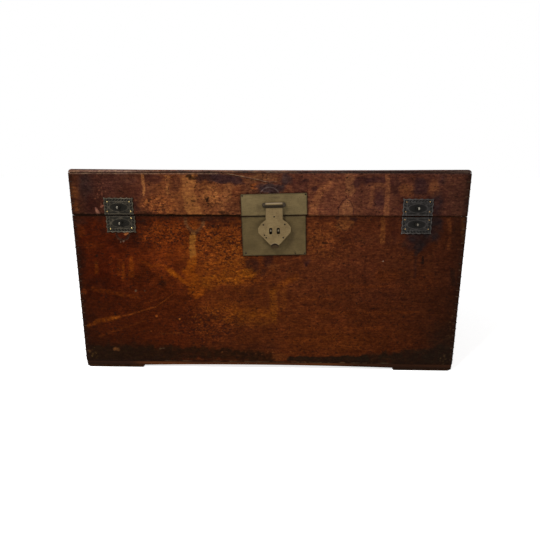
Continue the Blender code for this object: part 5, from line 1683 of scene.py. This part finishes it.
# Wood
END_REACH = 9.5 * MM
END_RISE = 7.0 * MM
END_BEND = 1.35
BOARD_BOW = 3.1 * MM
BOARD_BOW_HALF = 0.255
BOARD_CORNER = 6 * MM
BOARD_SOFT = 1.1 * MM
SKID_ROUND = 4.2 * MM


def end_round(z):
    """How far the trunk's lower end draws in at a height: a bevel a little hollowed towards its top."""
    return END_REACH * np.clip(1 - z / END_RISE, 0, 1) ** END_BEND


def base_board():
    """Board under the box: a section with eased edges carried along X, its underside bowed.

    Its ends follow the bevel of the skids below and the round corners of the plan.
    """
    low, high = corners("base_board")
    half = high[0]
    deep = (high[1] - low[1]) / 2
    near = half - np.array((0, 0.15, 0.6, 1.4, 2.4, 3.6, 5.0, 7.0, 9.5)) * MM
    x = np.concatenate([-near, np.linspace(END_REACH - half, half - END_REACH, 90)[1:-1], near[::-1]])
    drawn = (half - np.abs(x)) / END_REACH
    foot = np.maximum(low[2], END_RISE * (1 - np.clip(drawn, 0, 1) ** (1 / END_BEND)))
    foot = foot + BOARD_BOW * np.maximum(0, 1 - (x / BOARD_BOW_HALF) ** 2)
    corner = np.clip(np.abs(x) - half + BOARD_CORNER, 0, BOARD_CORNER)
    reach = deep - BOARD_CORNER + np.sqrt(BOARD_CORNER**2 - corner**2)
    turn = np.linspace(0, pi / 2, 5)
    y = np.concatenate([BOARD_SOFT * (1 - np.sin(turn)), BOARD_SOFT * (1 - np.cos(turn))])
    z = np.concatenate([BOARD_SOFT * (1 - np.cos(turn)), BOARD_SOFT * (1 - np.sin(turn))])
    front_y = y - reach[:, None]
    below = foot[:, None] + z[: len(turn)]
    above = high[2] - z[len(turn) :] + 0 * foot[:, None]
    heights = np.concatenate([below, above], axis=1)
    section_y = np.concatenate([front_y, -front_y[:, ::-1]], axis=1)
    section_z = np.concatenate([heights, heights[:, ::-1]], axis=1)
    points = np.stack([x[:, None] + 0 * section_y, section_y + MIDDLE_Y, section_z], axis=-1)
    make("base_board_plank", tube(points), STAINED_LONG, "box", ["base_board"])


base_board()


def skid(side, way):
    """Flat foot: a section with a round inner edge and a long bevel at the trunk's end, carried along Y."""
    low, high = corners(f"skid_{side}")
    near = min(abs(low[0]), abs(high[0]))
    tall = high[2]
    z = np.linspace(0, tall, 8)
    outer = HALF_WIDTH - end_round(z)
    inner = near + SKID_ROUND * (1 - np.sqrt(1 - np.clip(1 - z / SKID_ROUND, 0, 1) ** 2))
    ring_x = np.concatenate([outer, inner[::-1]])
    ring_z = np.concatenate([z, z[::-1]])
    ease_in = np.array((1.0, 0.5, 0.15, 0)) * MM
    from_end = np.array((0, 0.15, 0.5, 1.0)) * MM
    inset = np.concatenate([ease_in, ease_in[::-1]])[:, None]
    y = np.concatenate([low[1] + from_end, high[1] - from_end[::-1]])[:, None]
    x = np.clip(ring_x, near + inset, HALF_WIDTH - inset)
    z = np.clip(ring_z, inset, tall - inset)
    points = np.stack(np.broadcast_arrays(way * x, y, z), axis=-1)
    make(f"skid_{side}_foot", tube(points), STAINED_DEEP, "box", [f"skid_{side}"])


skid("left", -1)
skid("right", 1)


def dress(node, finish):
    """Finish on a solid that is seen as it is."""
    for place in frame["nodes"][node].material_slots:
        place.material = finish


for side in ("front", "back", "left", "right"):
    finish = CAMPHOR_LONG if side in ("front", "back") else CAMPHOR_DEEP
    softened(f"box_lip_{side}", finish, "box", 0.0008)
    dress(f"box_{side}_panel", finish)
    dress(f"lid_{side}_panel", finish)
dress("lid_top_board", CAMPHOR_LONG)
dress("hinge_pin_left", STEEL)
dress("hinge_pin_right", STEEL)

# Floor, light and camera
FLOOR = 30
FLOOR_GLOW = 0.78
SKY = 0.27
CAMERA_PLACE = 0.0235, -1.06068, 0.3970
CAMERA_PAN = radians(1.3251)
CAMERA_TILT = radians(-12.839)
CAMERA_ROLL = radians(-0.125)


def seen_rays(tree):
    """1 for rays from the camera, off a gloss or through a clear piece, 0 for those that give light."""
    rays = add(tree, "LightPath")
    seen = plus(tree, rays.outputs["Is Camera Ray"], rays.outputs["Is Glossy Ray"])
    return plus(tree, seen, rays.outputs["Is Transmission Ray"])


floor_mesh = bpy.data.meshes.new("floor")
floor_corners = [(-FLOOR, -FLOOR, 0), (FLOOR, -FLOOR, 0), (FLOOR, FLOOR, 0), (-FLOOR, FLOOR, 0)]
floor_mesh.from_pydata(floor_corners, [], [(0, 1, 2, 3)])
floor = bpy.data.objects.new("floor", floor_mesh)
bpy.context.scene.collection.objects.link(floor)
floor_paint, tree, shader = begin("pale_floor")
shader.inputs["Base Color"].default_value = (0.80, 0.80, 0.80, 1)
shader.inputs["Roughness"].default_value = 0.9
shader.inputs["Specular IOR Level"].default_value = 0.1
shader.inputs["Emission Color"].default_value = (1, 1, 1, 1)
wire(tree, times(tree, seen_rays(tree), FLOOR_GLOW), shader.inputs["Emission Strength"])
floor_mesh.materials.append(floor_paint)

world = bpy.data.worlds.new("studio")
bpy.context.scene.world = world
world.use_nodes = True
tree = world.node_tree
sky = tree.nodes["Background"]
sky.inputs["Color"].default_value = (1, 1, 1, 1)
wire(tree, levels(tree, seen_rays(tree), 0.0, 1.0, SKY, 1.0), sky.inputs["Strength"])


def lamp(name, place, aim, size, power):
    """Square soft lamp at a place, turned to its aim."""
    light = bpy.data.lights.new(name, "AREA")
    light.size = size
    light.energy = power
    holder = bpy.data.objects.new(name, light)
    bpy.context.scene.collection.objects.link(holder)
    holder.location = place
    holder.rotation_euler = (Vector(aim) - Vector(place)).to_track_quat("-Z", "Y").to_euler()


lamp("key", (-1.0, -1.5, 2.1), (0, -0.2, 0.2), 0.5, 50)
lamp("fill", (1.8, -1.8, 1.2), (0, -0.2, 0.2), 1.6, 6)

lens = bpy.data.cameras.new("camera")
lens.lens = 28.363
lens.sensor_width = 36.0
camera = bpy.data.objects.new("camera", lens)
bpy.context.scene.collection.objects.link(camera)
camera.location = CAMERA_PLACE
turn = Matrix.Rotation(CAMERA_PAN, 3, "Z") @ Matrix.Rotation(CAMERA_TILT, 3, "X")
turn = turn @ Matrix.Rotation(CAMERA_ROLL, 3, "Y") @ Matrix.Rotation(radians(90), 3, "X")
camera.rotation_euler = turn.to_euler()
bpy.context.scene.camera = camera
bpy.context.scene.view_settings.view_transform = "Standard"
